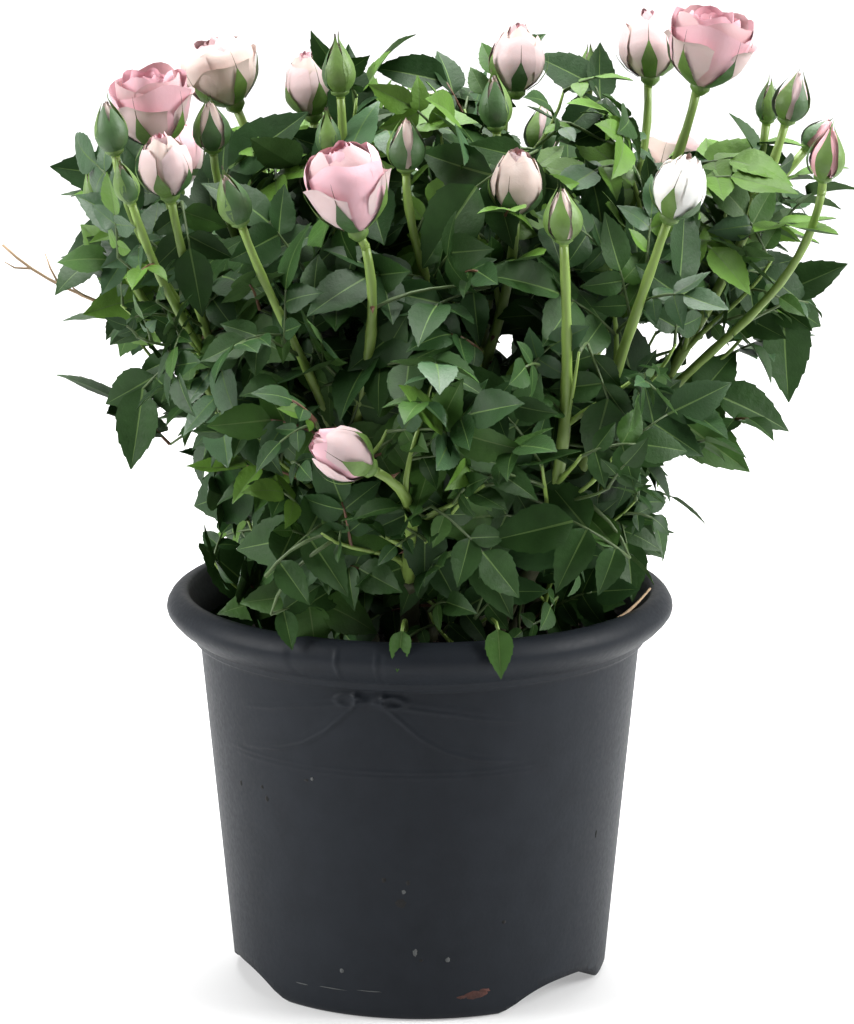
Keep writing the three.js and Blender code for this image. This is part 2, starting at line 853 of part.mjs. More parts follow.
function buildPot() {
  const outer = [
    [0, 0],
    [POT.baseRadius - POT.baseCorner + 1, 0],
    [POT.baseRadius, POT.baseCorner],
    [POT.neckRadius, POT.neckZ],
    [POT.ledgeRadius, POT.neckZ + 0.6],
    [POT.ledgeRadius + 0.6, POT.neckZ + 3],
    [POT.rimRadius - 2, POT.rimWidestZ - 5],
    [POT.rimRadius, POT.rimWidestZ],
    [POT.rimRadius - 1.5, POT.rimWidestZ + 4.5],
    [POT.lipRadius, POT.height],
    [0, POT.height],
  ];
  const mouth = [
    ...potInside(POT.rimWidestZ - 4, 0),
    [POT.lipInnerRadius, POT.height - 2],
    [POT.lipInnerRadius + 1, POT.height + 1],
    [0, POT.height + 1],
  ];
  let inside = lathe(mouth, POT.sides);
  let pot = lathe(outer, POT.sides);
  for (const azimuth of ARCH.azimuths) inside = inside.subtract(archTunnel(azimuth, POT.floor));
  pot = pot.subtract(inside);
  for (const azimuth of ARCH.azimuths)
    pot = pot.subtract(archTunnel(azimuth, 0)).subtract(drainHole(azimuth));
  return largestBody(pot.simplify(SMOOTHING));
}

function buildCompost() {
  let compost = lathe([...potInside(COMPOST.top, GAP), [0, COMPOST.top]], POT.sides);
  for (const azimuth of ARCH.azimuths)
    compost = compost.subtract(archTunnel(azimuth, POT.floor + GAP));
  return largestBody(compost.simplify(SMOOTHING));
}

// ---------------------------------------------------------------- assembly

const masses = MASSES.map(growSkeleton);
for (let i = 0; i < SKIRT.count; i++) masses.push(growLowShoot(i));
for (const mass of masses) growTwigs(mass, masses);

const pot = buildPot();
const compost = buildCompost();
const boughs = masses.filter((mass) => mass.limb).map((mass) => [mass.name, boughSolid(mass)]);

const obstacles = [pot, compost, ...boughs.map(([, solid]) => solid)].map((solid) => ({
  solid,
  box: boxOf(solid),
}));
for (const mass of masses) {
  mass.parts = stemParts(mass);
  mass.leaves = [];
  obstacles.push(...mass.parts);
}

// The masses take turns, one leaf each, so that none fills the room between two of them alone.
const plans = masses.map(leafPlans);
for (let turn = 0; turn < Math.max(...plans.map((list) => list.length)); turn++)
  for (const list of plans) {
    const leaf = list[turn] && placeLeaf(list[turn], obstacles);
    if (!leaf) continue;
    obstacles.push(leaf);
    leaf.mass.leaves.push(leaf);
  }

// The solid of a mass: its stems, without the twigs that carry no leaf, then its leaves.
function massSolid({ parts, twigs, leaves }) {
  const isLeafless = (stem) => twigs.includes(stem) && !leaves.some((leaf) => leaf.stem === stem);
  const kept = parts.filter(({ stem }) => !isLeafless(stem));
  const lists = [...kept.map(({ turned }) => turned), ...leaves.map(({ solid }) => [solid])];
  return largestBody(joinCleanly(lists));
}

const bush = new THREE.Group();
bush.add(meshOf("pot", pot, COLOURS.pot, 0.45));
bush.add(meshOf("compost", compost, COLOURS.compost, 0.95));
for (const [name, solid] of boughs) bush.add(meshOf("cane_" + name, solid, COLOURS.cane, 0.6));
for (const mass of masses) {
  const name = mass.heads.length ? "foliage_" + mass.name : mass.name;
  bush.add(meshOf(name, massSolid(mass), COLOURS.foliage, 0.5));
}

export default bush;
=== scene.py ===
from math import atan2, cos, degrees, exp, hypot, pi, radians, sin, sqrt, tan

import bpy
import numpy as np
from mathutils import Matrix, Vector


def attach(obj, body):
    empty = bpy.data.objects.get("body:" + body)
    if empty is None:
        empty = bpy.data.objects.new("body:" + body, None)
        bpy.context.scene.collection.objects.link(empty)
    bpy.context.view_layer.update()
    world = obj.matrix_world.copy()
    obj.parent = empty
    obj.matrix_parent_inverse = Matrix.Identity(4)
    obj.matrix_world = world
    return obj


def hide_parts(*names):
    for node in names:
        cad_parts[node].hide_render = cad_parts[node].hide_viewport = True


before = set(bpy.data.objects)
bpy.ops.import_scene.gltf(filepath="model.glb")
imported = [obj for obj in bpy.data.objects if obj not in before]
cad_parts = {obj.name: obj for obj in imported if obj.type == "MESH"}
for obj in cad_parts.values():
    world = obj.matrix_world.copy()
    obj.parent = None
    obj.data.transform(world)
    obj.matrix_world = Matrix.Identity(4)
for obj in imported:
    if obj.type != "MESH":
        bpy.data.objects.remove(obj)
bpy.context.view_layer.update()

MM = 0.001

# ---------------- the plant's own sizes, in millimetres

POT_HEIGHT, RIM_RADIUS, RIM_WIDEST_Z = 156.0, 100.0, 149.0
LIP_RADIUS, LIP_INNER_RADIUS = 95.0, 91.0
NECK_RADIUS, NECK_Z, LEDGE_RADIUS = 87.0, 136.0, 89.5
BASE_RADIUS, BASE_CORNER, WALL = 74.0, 4.0, 2.0
ARCH_AZIMUTHS, ARCH_HALF_ANGLE, ARCH_HEIGHT, ARCH_INNER_RADIUS = (50, -70, 170), 25.0, 10.0, 40.0
COMPOST_TOP, GAP = 140.0, 0.3
HEAD_RISE, TWIG_SHARES, TWIG_LENGTH, LEAFY_RISE = 105.0, (0.22, 0.42), 46.0, 52.0
LEAF_TURN, LEAF_SPREAD, LEAF_DROOP, LEAF_FRONTWARD = radians(144), radians(60), 0.2, 0.6
RACHIS, LEAFLET, INTERNODE, TWIG_INTERNODE = 33.0, 30.0, 17.0, 14.5
NECK_FRONT, NECK_INSIDE, NECK_FRONT_Y = 48.0, 20.0, -85.0
CLEARANCE, TWIG_RADIUS, LOWEST_LEAF = 0.6, 1.2, 146.0
LOW_COUNT, LOW_FOOT, LOW_TURN, LOW_LENGTH, LOW_LEAN = 8, 56.0, 12.0, 66.0, 0.4
LOW_INTERNODE, LOW_LEAF_SHARE = 13.0, 0.8

# The crown's outline: height, middle in X, radius.
CROWN = np.array([(150, 0, 98), (172, 4, 101), (204, 8, 116), (232, 14, 136), (262, 12, 152),
                  (300, 12, 158), (352, 10, 154), (384, 8, 110)], dtype=float)

# The camera's place. Seen from there the crown stands open at these points: X and Z in the
# plane Y = 0, and radius.
SIGHT = np.array([2.84, -1773.5, 582.2])
LENS, CAMERA_DIP = 162.2, 0.22
OPENINGS = [(-82, 326, 3.2), (-84, 311, 2.8), (-78, 304, 3.2), (-100, 220, 2.4), (-123, 268, 2.4),
            (-107, 248, 3.2), (-11, 363, 3.6), (14, 362, 4.7), (51, 358, 4.7), (41, 342, 5.5),
            (59, 344, 2.0), (74, 365, 3.6), (71, 329, 3.6), (96, 336, 4.0),
            (99, 345, 7.1), (102, 354, 4.0), (18, 317, 3.6), (30, 255, 4.7), (75, 256, 3.2),
            (75, 248, 2.8), (89, 257, 2.0), (95, 254, 3.6), (112, 252, 3.6), (108, 240, 4.7),
            (132, 260, 3.6), (126, 250, 2.4), (124, 244, 2.4), (132, 234, 2.8), (104, 220, 2.4),
            (99, 206, 1.6), (69, 194, 2.8), (127, 274, 2.4), (-57, 345, 4.0), (-50, 358, 4.0),
            (-130, 256, 4.3), (149, 248, 4.3), (-112, 242, 4.3), (-89, 188, 4.3), (121, 339, 4.0),
            (18, 315, 4.0), (111, 243, 4.0), (-96, 194, 4.0), (141, 285, 3.6), (-91, 174, 3.6),
            (126, 349, 3.2), (154, 292, 3.2), (157, 277, 3.2), (-137, 271, 3.2), (153, 262, 3.2),
            (-98, 209, 3.2), (116, 203, 3.2), (105, 196, 3.2), (9, 363, 2.8), (116, 347, 2.8),
            (-133, 305, 2.8), (118, 246, 2.8), (146, 240, 2.8), (-118, 236, 2.8), (7, 378, 2.4)]

# Stems that show past the leaves before them: mass, its flowering stem (0 is the main one), and
# the share of the stem from which it shows.
SHOWN_STEMS = [("front_left", 0, 0.3), ("front_left", 1, 0.12), ("front_right", 0, 0.08),
               ("right_front", 0, 0.3), ("left", 1, 0.5), ("right", 3, 0.45), ("centre", 1, 0.6)]

# Each kind of flower: its height and width, its hip's radius, and its sepals' length as a share of
# the height above the hip, half their breadth and their flare.
KINDS = {"bloom": (31, 31, 4.0, 0.84, 3.6, 3.0), "opening": (26, 20, 3.9, 0.8, 3.7, 3.0),
         "bud": (20, 13.5, 3.7, 1.06, 0.55, 0.8), "smallBud": (15, 10, 3.0, 1.06, 0.62, 0.5)}
CLOSED = ("bud", "smallBud")

# Seeds of the streams of numbers.
MASS_SEED, LOW_SEED, LEAF_SEED, STEM_SEED, FLOWER_SEED, SPECK_SEED, LITTER_SEED = (
    101, 901, 77, 31, 55, 41, 9)

# Each mass: the foot of its bough, its fork, its heads (kind, tone, top of stem, lean), the tips of
# its leafy shoots, and of its dry ones.
MASSES = [
    ("left", (-38, -12), (-56, -18, 188), [
        ("bloom", "pink", (-99, -30, 333), (-0.15, -0.15)),
        ("opening", "blush", (-93, -64, 320), (-0.15, -0.2)),
        ("bud", "green", (-114, -60, 337), (-0.15, -0.1)),
        ("smallBud", "green", (-122, -28, 310), (-0.3, 0)),
        ("smallBud", "green", (-107, -80, 322), (-0.27, -0.2)),
    ], [(-126, 2, 308), (-114, -10, 266), (-80, -30, 220), (-92, -70, 284),
        (-96, -38, 312)], [(-160, -24, 296)]),
    ("front_left", (-20, -38), (-28, -56, 186), [
        ("bloom", "pink", (-20, -95, 308), (-0.22, -0.2)),
        ("bud", "green", (-66, -85, 314), (-0.32, -0.2)),
    ], [(-62, -88, 240), (-45, -110, 262), (-46, -90, 208)], []),
    ("upper_left", (-25, 8), (-37, 12, 190), [
        ("bloom", "cream", (-71, 10, 344), (-0.43, 0)),
        ("bud", "cream", (-79, -20, 332), (-0.06, -0.2)),
    ], [(-85, 38, 285), (-56, -5, 345), (-60, 45, 325), (-86, 6, 312)], []),
    ("centre_left", (-12, -8), (-17, -12, 192), [
        ("opening", "blush", (-41, 2, 341), (-0.12, 0)),
        ("bud", "green", (-30, -35, 356), (-0.07, -0.1)),
        ("smallBud", "green", (-34, -54, 336), (-0.05, -0.1)),
    ], [(-24, -12, 358), (-42, -60, 292), (-5, 18, 345)], []),
    ("front_low", (-4, -56), (-4, -74, 176), [
        ("opening", "pink", (-17, -118, 228), (-1.75, -0.4)),
    ], [(22, -108, 228), (-40, -102, 205), (6, -104, 268)], []),
    ("centre", (3, -26), (7, -38, 190), [
        ("opening", "cream", (36, -65, 313), (0.03, -0.1)),
        ("bud", "cream", (-5, -65, 331), (0, -0.1)),
        ("bud", "green", (29, -45, 344), (-0.05, -0.1)),
    ], [(2, -70, 306), (24, -82, 270), (8, -40, 344)], []),
    ("upper_centre", (5, 4), (9, 4, 192), [
        ("opening", "blush", (33, -5, 351), (0.04, 0)),
        ("bud", "blush", (48, 40, 322), (0.05, 0.2)),
    ], [(56, -8, 356), (16, 5, 358), (10, 50, 325)], []),
    ("front_right", (28, -46), (46, -66, 186), [
        ("bud", "cream", (53, -100, 310), (-0.05, -0.1)),
    ], [(45, -104, 236), (74, -92, 232), (60, -98, 278)], []),
    ("right_front", (35, -24), (54, -38, 190), [
        ("opening", "white", (92, -85, 315), (0.33, -0.1)),
    ], [(98, -72, 272), (92, -58, 232), (72, -62, 306)], []),
    ("upper_right", (23, -2), (36, -2, 194), [
        ("bloom", "pink", (106, -15, 354), (0.2, -0.1)),
        ("opening", "blush", (89, 20, 353), (-0.04, 0.1)),
        ("smallBud", "green", (66, 22, 351), (0.02, 0)),
    ], [(76, -18, 350), (108, 28, 326), (72, 45, 315), (98, -30, 322)], []),
    ("right", (44, -2), (68, -4, 188), [
        ("bud", "blush", (140, -20, 343), (0.26, 0)),
        ("smallBud", "green", (134, -2, 341), (0.09, 0)),
        ("smallBud", "pink", (151, 14, 328), (0.9, 0.2)),
        ("bud", "pink", (152, -48, 321), (0.14, -0.1)),
    ], [(138, -32, 300), (134, 6, 268), (114, -30, 236), (86, -8, 208), (122, 8, 320)], []),
    ("back_left", (-32, 26), (-50, 40, 184), [
        ("bloom", "pink", (-98, 70, 300), (-0.3, 0.3)),
    ], [(-96, 42, 256), (-74, 78, 234), (-68, 88, 290)], []),
    ("back", (-8, 34), (-12, 56, 186), [
        ("opening", "blush", (6, 104, 312), (0, 0.3)),
        ("bud", "cream", (-50, 106, 304), (-0.1, 0.3)),
    ], [(-32, 106, 244), (14, 104, 244), (-14, 76, 318)], []),
    ("back_right", (24, 30), (40, 48, 186), [
        ("bud", "blush", (64, 106, 306), (0.1, 0.3)),
        ("bloom", "cream", (100, 74, 292), (0.3, 0.3)),
    ], [(64, 98, 246), (96, 60, 248), (46, 78, 318)], []),
]

# Leaves that give the crown its outline and its front: mass, tip, heading, size, 1 where flat.
OUTER_LEAVES = [
    ("left", (-141, -10, 330), (-1, 0, 0.35), 28, 0),
    ("left", (-141, -5, 295), (-1, 0, -0.25), 32, 0),
    ("left", (-140, 10, 264), (-1, 0, 0.1), 19, 1),
    ("left", (-122, -15, 249), (-0.6, 0, -0.8), 25, 0),
    ("left", (-140, 5, 246), (-0.8, 0, 0.6), 28, 1),
    ("left", (-112, -20, 207), (-0.15, 0, -1), 30, 0),
    ("centre_left", (-28, -5, 372), (-0.12, 0, 1), 36, 0),
    ("centre_left", (-15, 10, 366), (-0.85, 0, 0.4), 26, 0),
    ("upper_centre", (45, 10, 370), (-0.8, 0, 0.6), 27, 0),
    ("right", (166, 0, 288), (0.85, 0, 0.5), 27, 0),
    ("right", (156, -10, 270), (0.75, 0, -0.4), 25, 0),
    ("right", (156, 10, 255), (1, 0, 0.1), 18, 1),
    ("right", (148, -10, 228), (1, 0, -0.2), 31, 0),
    ("right", (126, -20, 208), (0.8, 0, -0.6), 34, 0),
    ("right", (144, 5, 230), (0.05, 0, -1), 33, 0),
    ("right_front", (99, -5, 172), (0.8, 0, -0.5), 36, 0),
    ("upper_right", (125, 10, 346), (-0.3, 0, 1), 22, 1),
    ("upper_left", (-46, -10, 351), (0.7, 0, 0.7), 36, 0),
    ("centre", (-4, -70, 296), (-0.6, 0, -0.7), 36, 0),
    ("front_left", (-29, -85, 262), (-0.8, 0, -0.5), 33, 0),
    ("left", (-81, -60, 274), (0.2, 0, -1), 25, 0),
    ("front_left", (-65, -75, 252), (-1, 0, -0.25), 38, 1),
    ("right_front", (103, -60, 251), (1, 0, 0.08), 40, 1),
    ("front_low", (-70, -60, 182), (-0.8, 0, -0.6), 42, 0),
    ("front_low", (0, -90, 203), (1, 0, 0.05), 34, 0),
    ("centre", (19, -80, 203), (0.05, 0, -1), 22, 0),
    ("front_right", (23, -88, 200), (-1, 0, -0.05), 32, 0),
    ("front_low", (2, -88, 176), (0, 0, -1), 25, 0),
    ("front_left", (-69, -60, 164), (-1, 0, -0.1), 24, 0),
    ("front_low", (-12, -78, 158), (0.9, 0, -0.35), 25, 0),
    ("front_right", (49, -78, 174), (1, 0, 0.1), 17, 0),
    ("front_right", (62, -90, 222), (-0.3, 0, -1), 26, 0),
    ("left", (-141, 20, 312), (-1, 0, 0.2), 22, 1),
    ("left", (-85, -5, 174), (-0.7, -0.1, 0.7), 27, 0),
    ("left", (-79, -42, 161), (-0.9, -0.3, 0.1), 25, 0),
    ("right", (86, -2, 174), (0.7, -0.1, 0.7), 28, 0),
    ("right_front", (80, -38, 162), (0.9, -0.3, 0.15), 25, 0),
    ("left", (-117, 0, 246), (-0.5, 0, -1), 24, 0),
]

# ---------------- small tools

UP = np.array([0.0, 0.0, 1.0])


def vec(*values):
    return np.array(values, dtype=float)


def unit(v):
    return v / np.linalg.norm(v)


def make_random(seed):
    """The source's stream of numbers from 0 to 1."""
    state = [seed & 0xFFFFFFFF]

    def imul(a, b):
        return (a * b) & 0xFFFFFFFF

    def draw():
        state[0] = (state[0] + 0x6D2B79F5) & 0xFFFFFFFF
        s = state[0]
        t = imul(s ^ (s >> 15), s | 1)
        t ^= (t + imul(t ^ (t >> 7), t | 61)) & 0xFFFFFFFF
        return ((t ^ (t >> 14)) & 0xFFFFFFFF) / 4294967296

    return draw


class Curve:
    """A cubic Bezier stem line."""

    def __init__(self, start, start_direction, end, end_direction):
        reach = np.linalg.norm(end - start) * 0.36
        self.p = [start, start + start_direction * reach, end - end_direction * reach, end]
        points = self.points(200)
        self.length = float(np.linalg.norm(np.diff(points, axis=0), axis=1).sum())
        self.last = 0.0  # the share at which its last leaf or twig sits

    def point(self, t):
        a, b, c, d = self.p
        s = 1 - t
        return s**3 * a + 3 * s * s * t * b + 3 * s * t * t * c + t**3 * d

    def points(self, n, upto=1.0):
        return np.array([self.point(upto * i / n) for i in range(n + 1)])

    def tangent(self, t):
        a, b, c, d = self.p
        s = 1 - t
        return unit(s * s * (b - a) + 2 * s * t * (c - b) + t * t * (d - c))


def frame_of(tangent):
    """Two directions square to a tangent."""
    reference = vec(0, 1, 0) if abs(tangent[0]) > 0.9 else vec(1, 0, 0)
    u = unit(np.cross(tangent, reference))
    return u, np.cross(tangent, u)


def out_of_stem(tangent, angle):
    u, v = frame_of(tangent)
    return u * cos(angle) + v * sin(angle)


def rotated(v, axis, angle):
    c, s = cos(angle), sin(angle)
    return v * c + np.cross(axis, v) * s + axis * np.dot(axis, v) * (1 - c)


def band(first, second, sides):
    """The quads between two closed rings of corners, given the number of each ring's first."""
    return [(first + j, first + (j + 1) % sides, second + (j + 1) % sides, second + j)
            for j in range(sides)]


def put_object(name, data):
    made = bpy.data.objects.new(name, data)
    bpy.context.scene.collection.objects.link(made)
    return made


class Mesh:
    """Vertices in millimetres and faces with a material number each."""

    def __init__(self):
        self.vertices, self.faces, self.slots, self.count = [], [], [], 0

    def add(self, vertices, faces, slot=0):
        vertices = np.asarray(vertices, dtype=float)
        self.vertices.append(vertices)
        base = self.count
        self.faces.extend(tuple(base + i for i in face) for face in faces)
        slots = slot if isinstance(slot, list) else [slot] * len(faces)
        self.slots.extend(slots)
        self.count += len(vertices)

    def make(self, name, materials=(), smooth=True):
        """An object in the scene."""
        data = bpy.data.meshes.new(name)
        data.from_pydata((np.concatenate(self.vertices) * MM).tolist(), [], self.faces)
        for each in materials:
            data.materials.append(each)
        data.polygons.foreach_set("material_index", self.slots)
        data.polygons.foreach_set("use_smooth", [smooth] * len(self.faces))
        data.update()
        return put_object(name, data)

    def build(self, name, materials, smooth=True):
        """A visible piece of the part."""
        piece = self.make(name, materials, smooth)
        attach(piece, "root")
        return piece

    def tube(self, points, radii, sides, slot=0, wobble=None):
        """A closed tube through the points. wobble gives each corner's share of its radius."""
        points = np.asarray(points, dtype=float)
        vertices, faces = [], []
        tangents = np.gradient(points, axis=0)
        for i, (centre, radius) in enumerate(zip(points, radii)):
            u, v = frame_of(unit(tangents[i]))
            for j in range(sides):
                angle = 2 * pi * j / sides
                r = radius * (wobble(i, j) if wobble else 1)
                vertices.append(centre + (u * cos(angle) + v * sin(angle)) * r)
        for i in range(len(points) - 1):
            faces += band(i * sides, (i + 1) * sides, sides)
        last = (len(points) - 1) * sides
        faces += [tuple(reversed(range(sides))), tuple(range(last, last + sides))]
        self.add(vertices, faces, slot)


# ---------------- materials


def fill(node, **values):
    """Sets a node's inputs. An underscore stands for a space."""
    for name, value in values.items():
        node.inputs[name.replace("_", " ")].default_value = value
    return node


def material(name, colour, roughness, bump=0.0, bump_scale=400.0, mottle=0.0, sheen=0.0,
             subsurface=0.0, specular=0.5, stretch=(1, 1, 1)):
    """A plain base colour, mottled a little where asked, with fine relief and uneven gloss."""
    made = bpy.data.materials.new(name)
    made.use_nodes = True
    nodes, links = made.node_tree.nodes, made.node_tree.links
    shader = fill(nodes["Principled BSDF"], Base_Color=(*colour, 1.0), Roughness=roughness,
                  Specular_IOR_Level=specular, Sheen_Weight=sheen)
    if subsurface:
        fill(shader, Subsurface_Weight=subsurface, Subsurface_Scale=0.004,
             Subsurface_Radius=(1.0, 0.5, 0.4))
    mapping = fill(nodes.new("ShaderNodeMapping"), Scale=stretch)
    links.new(nodes.new("ShaderNodeTexCoord").outputs["Object"], mapping.inputs["Vector"])

    def noise(scale, detail):
        made = fill(nodes.new("ShaderNodeTexNoise"), Scale=scale, Detail=detail)
        links.new(mapping.outputs["Vector"], made.inputs["Vector"])
        return made.outputs["Fac"]

    fine = noise(bump_scale, 5.0)
    gloss = fill(nodes.new("ShaderNodeMapRange"), To_Min=max(0.05, roughness - 0.1),
                 To_Max=min(1.0, roughness + 0.12))
    links.new(fine, gloss.inputs["Value"])
    links.new(gloss.outputs["Result"], shader.inputs["Roughness"])
    if mottle:
        ramp = nodes.new("ShaderNodeValToRGB")
        for stop, place, change in zip(ramp.color_ramp.elements, (0.3, 0.7), (-mottle, mottle)):
            stop.position = place
            stop.color = (*[min(1.0, c * (1 + change)) for c in colour], 1.0)
        links.new(noise(bump_scale * 0.16, 6.0), ramp.inputs["Fac"])
        links.new(ramp.outputs["Color"], shader.inputs["Base Color"])
    if bump:
        relief = fill(nodes.new("ShaderNodeBump"), Strength=bump, Distance=0.0006)
        links.new(fine, relief.inputs["Height"])
        links.new(relief.outputs["Normal"], shader.inputs["Normal"])
    return made


def leaf_green(name, colour, roughness=0.5, specular=0.22):
    return material(name, colour, roughness, bump=0.25, bump_scale=900.0, mottle=0.14,
                    specular=specular)


LEAF_MATERIALS = [
    leaf_green("leaf_deep", (0.015, 0.046, 0.01)),
    leaf_green("leaf_dark", (0.019, 0.054, 0.01)),
    leaf_green("leaf_mid", (0.038, 0.095, 0.0155)),
    leaf_green("leaf_cool", (0.034, 0.084, 0.03), 0.42, 0.4),
    leaf_green("leaf_young", (0.08, 0.168, 0.022), 0.45),
    leaf_green("leaf_underside", (0.055, 0.11, 0.032), 0.6, 0.15),
    leaf_green("leaf_rib", (0.085, 0.15, 0.04), 0.5),
]
DEEP, DARK, MIDDLE, COOL, YOUNG, UNDERSIDE, RIB = range(7)
STEM_MATERIALS = [
    material(name, colour, roughness, bump, bump_scale, mottle, stretch=stretch)
    for name, colour, roughness, bump, bump_scale, mottle, stretch in (
        ("stem_green", (0.19, 0.29, 0.06), 0.42, 0.3, 500, 0.2, (1, 1, 0.2)),
        ("stem_old", (0.045, 0.05, 0.02), 0.6, 0.7, 420, 0.45, (1, 1, 0.25)),
        ("stem_red", (0.12, 0.055, 0.03), 0.5, 0.3, 600, 0.3, (1, 1, 1)),
        ("stem_dry", (0.36, 0.25, 0.15), 0.8, 0.7, 500, 0.35, (0.3, 1, 1)),
        ("stalk_dark", (0.06, 0.1, 0.028), 0.5, 0.3, 500, 0.2, (1, 1, 1)))
]
GREEN, OLD, RED, DRY, STALK = range(5)
PETAL_MATERIALS = [
    material("petal_" + name, colour, 0.6, bump=0.15, bump_scale=700, sheen=0.1, subsurface=0.12)
    for name, colour in (("white", (0.8, 0.78, 0.74)), ("cream", (0.55, 0.435, 0.39)),
                         ("blush", (0.58, 0.43, 0.43)), ("pink", (0.68, 0.4, 0.45)),
                         ("rose", (0.66, 0.34, 0.37)), ("heart", (0.56, 0.36, 0.37)))
]
WHITE, CREAM, BLUSH, PINK, ROSE, HEART = range(6)
# From the outermost petals to the heart.
TONES = {
    "white": [WHITE, WHITE, WHITE, CREAM, CREAM],
    "cream": [CREAM, CREAM, BLUSH, HEART, HEART],
    "blush": [BLUSH, CREAM, HEART, PINK, PINK],
    "pink": [BLUSH, PINK, HEART, PINK, PINK],
    "green": [CREAM, CREAM, BLUSH, PINK, PINK],
}
SEPAL_MATERIALS = [
    material("sepal_" + name, colour, roughness, bump=0.3, bump_scale=800, mottle=0.2)
    for name, colour, roughness in (("green", (0.1, 0.18, 0.035), 0.5),
                                    ("dark", (0.045, 0.1, 0.03), 0.5),
                                    ("tip", (0.09, 0.07, 0.045), 0.55))
]
SEPAL_GREEN, SEPAL_DARK, SEPAL_TIP = range(3)

# ---------------- the skeleton, by the source's rule


def axis_of(lean):
    return unit(vec(lean[0], lean[1], 1))


class Mass:
    """A mass's flowers and stem lines, and the segments that other growth keeps clear of."""

    def __init__(self, name, seed, heads=()):
        self.name, self.random, self.heads = name, make_random(seed), heads
        self.limb = self.main = None
        self.flowering, self.shoots, self.dry, self.twigs = [], [], [], []
        self.outer, self.fine, self.segments = [], [], []


def segments_of(curve, radius):
    points = curve.points(6)
    return [(points[i], points[i + 1], radius) for i in range(6)]


def side_stem(mass, tip, tip_direction, rise, place, fork_z, main_z):
    """A stem that leaves the main one a given rise below its own tip, higher for a later place."""
    share = (tip[2] - rise - fork_z) / (main_z - fork_z)
    share = min(max(share, 0.04 + 0.023 * place), 0.7)
    start = mass.main.point(share)
    away = unit(unit(tip - start) + mass.main.tangent(share))
    return Curve(start, away, tip, tip_direction)


def grow_skeleton(index, name, foot, fork, heads, leafy, dry):
    mass = Mass(name, MASS_SEED + index, heads)
    fork = vec(*fork)
    foot = vec(*foot, COMPOST_TOP + GAP)
    tip = vec(*heads[0][2])
    lean = unit(unit(tip - foot) + unit(fork - foot))
    mass.limb = Curve(foot, UP, fork, lean)
    mass.main = Curve(fork + lean * GAP, lean, tip, axis_of(heads[0][3]))
    heights = fork[2], tip[2]
    for i, (_, _, at, tilt) in enumerate(heads[1:]):
        mass.flowering.append(side_stem(mass, vec(*at), axis_of(tilt), HEAD_RISE, i, *heights))
    for i, end in enumerate(leafy):
        out = unit(unit(vec(*end) - fork) + UP)
        mass.shoots.append(side_stem(mass, vec(*end), out, LEAFY_RISE, i + 0.5, *heights))
    for i, end in enumerate(dry):
        out = unit(vec(*end) - fork)
        mass.dry.append(side_stem(mass, vec(*end), out, LEAFY_RISE, i + 0.25, *heights))
    mass.segments = segments_of(mass.main, 2.7) + segments_of(mass.limb, 4)
    for stem in mass.flowering:
        mass.segments += segments_of(stem, 1.8)
    for stem in mass.shoots + mass.dry:
        mass.segments += segments_of(stem, TWIG_RADIUS)
    for kind, _, at, tilt in heads:
        height, width = KINDS[kind][:2]
        base = vec(*at)
        mass.segments.append((base, base + axis_of(tilt) * height, width / 2))
    return mass


def grow_low_shoot(index):
    mass = Mass("low_shoot_%d" % (index + 1), LOW_SEED + index)
    angle = radians(LOW_TURN) + 2 * pi * index / LOW_COUNT
    out = vec(sin(angle), -cos(angle), 0)
    foot = out * LOW_FOOT + UP * (COMPOST_TOP + GAP)
    tip = foot + out * LOW_LENGTH * LOW_LEAN * 0.6 + UP * LOW_LENGTH * 0.8
    mass.main = Curve(foot, UP, tip, unit(UP + out * LOW_LEAN))
    mass.segments = segments_of(mass.main, TWIG_RADIUS)
    return mass


def twig_of(stem, share, random, size=1.0):
    start, tangent = stem.point(share), stem.tangent(share)
    turn = atan2(start[1], start[0]) + (random() - 0.5) * 4.4
    length = TWIG_LENGTH * size * (0.75 + 0.5 * random())
    out = vec(cos(turn), sin(turn), 0)
    end = start + tangent * length * 0.66 + out * length * 0.66
    return Curve(start, unit(tangent + out), end, unit(tangent + out * 0.35))


def distances(points, segments):
    """The gap from each point to each segment's flesh."""
    a = np.array([s[0] for s in segments])
    b = np.array([s[1] for s in segments])
    r = np.array([s[2] for s in segments])
    ab = b - a
    p = np.asarray(points)[:, None, :]
    t = ((p - a) * ab).sum(-1) / np.maximum((ab * ab).sum(-1), 1e-9)
    nearest = a + np.clip(t, 0, 1)[..., None] * ab
    return np.linalg.norm(p - nearest, axis=-1) - r


MASS_NAMES = [plan[0] for plan in MASSES]
masses = [grow_skeleton(i, *plan) for i, plan in enumerate(MASSES)]
masses += [grow_low_shoot(i) for i in range(LOW_COUNT)]
for mass in masses:
    for share in TWIG_SHARES if mass.heads else ():
        twig = twig_of(mass.main, share, mass.random)
        others = [s for other in masses if other is not mass for s in other.segments]
        if distances(twig.points(5)[1:], others).min() > CLEARANCE + TWIG_RADIUS:
            mass.twigs.append(twig)
    for twig in mass.twigs:
        mass.segments += segments_of(twig, TWIG_RADIUS)

THINNEST_HEAD = 5
head_segments = [s for mass in masses for s in mass.segments if s[2] >= THINNEST_HEAD]

# ---------------- leaflets


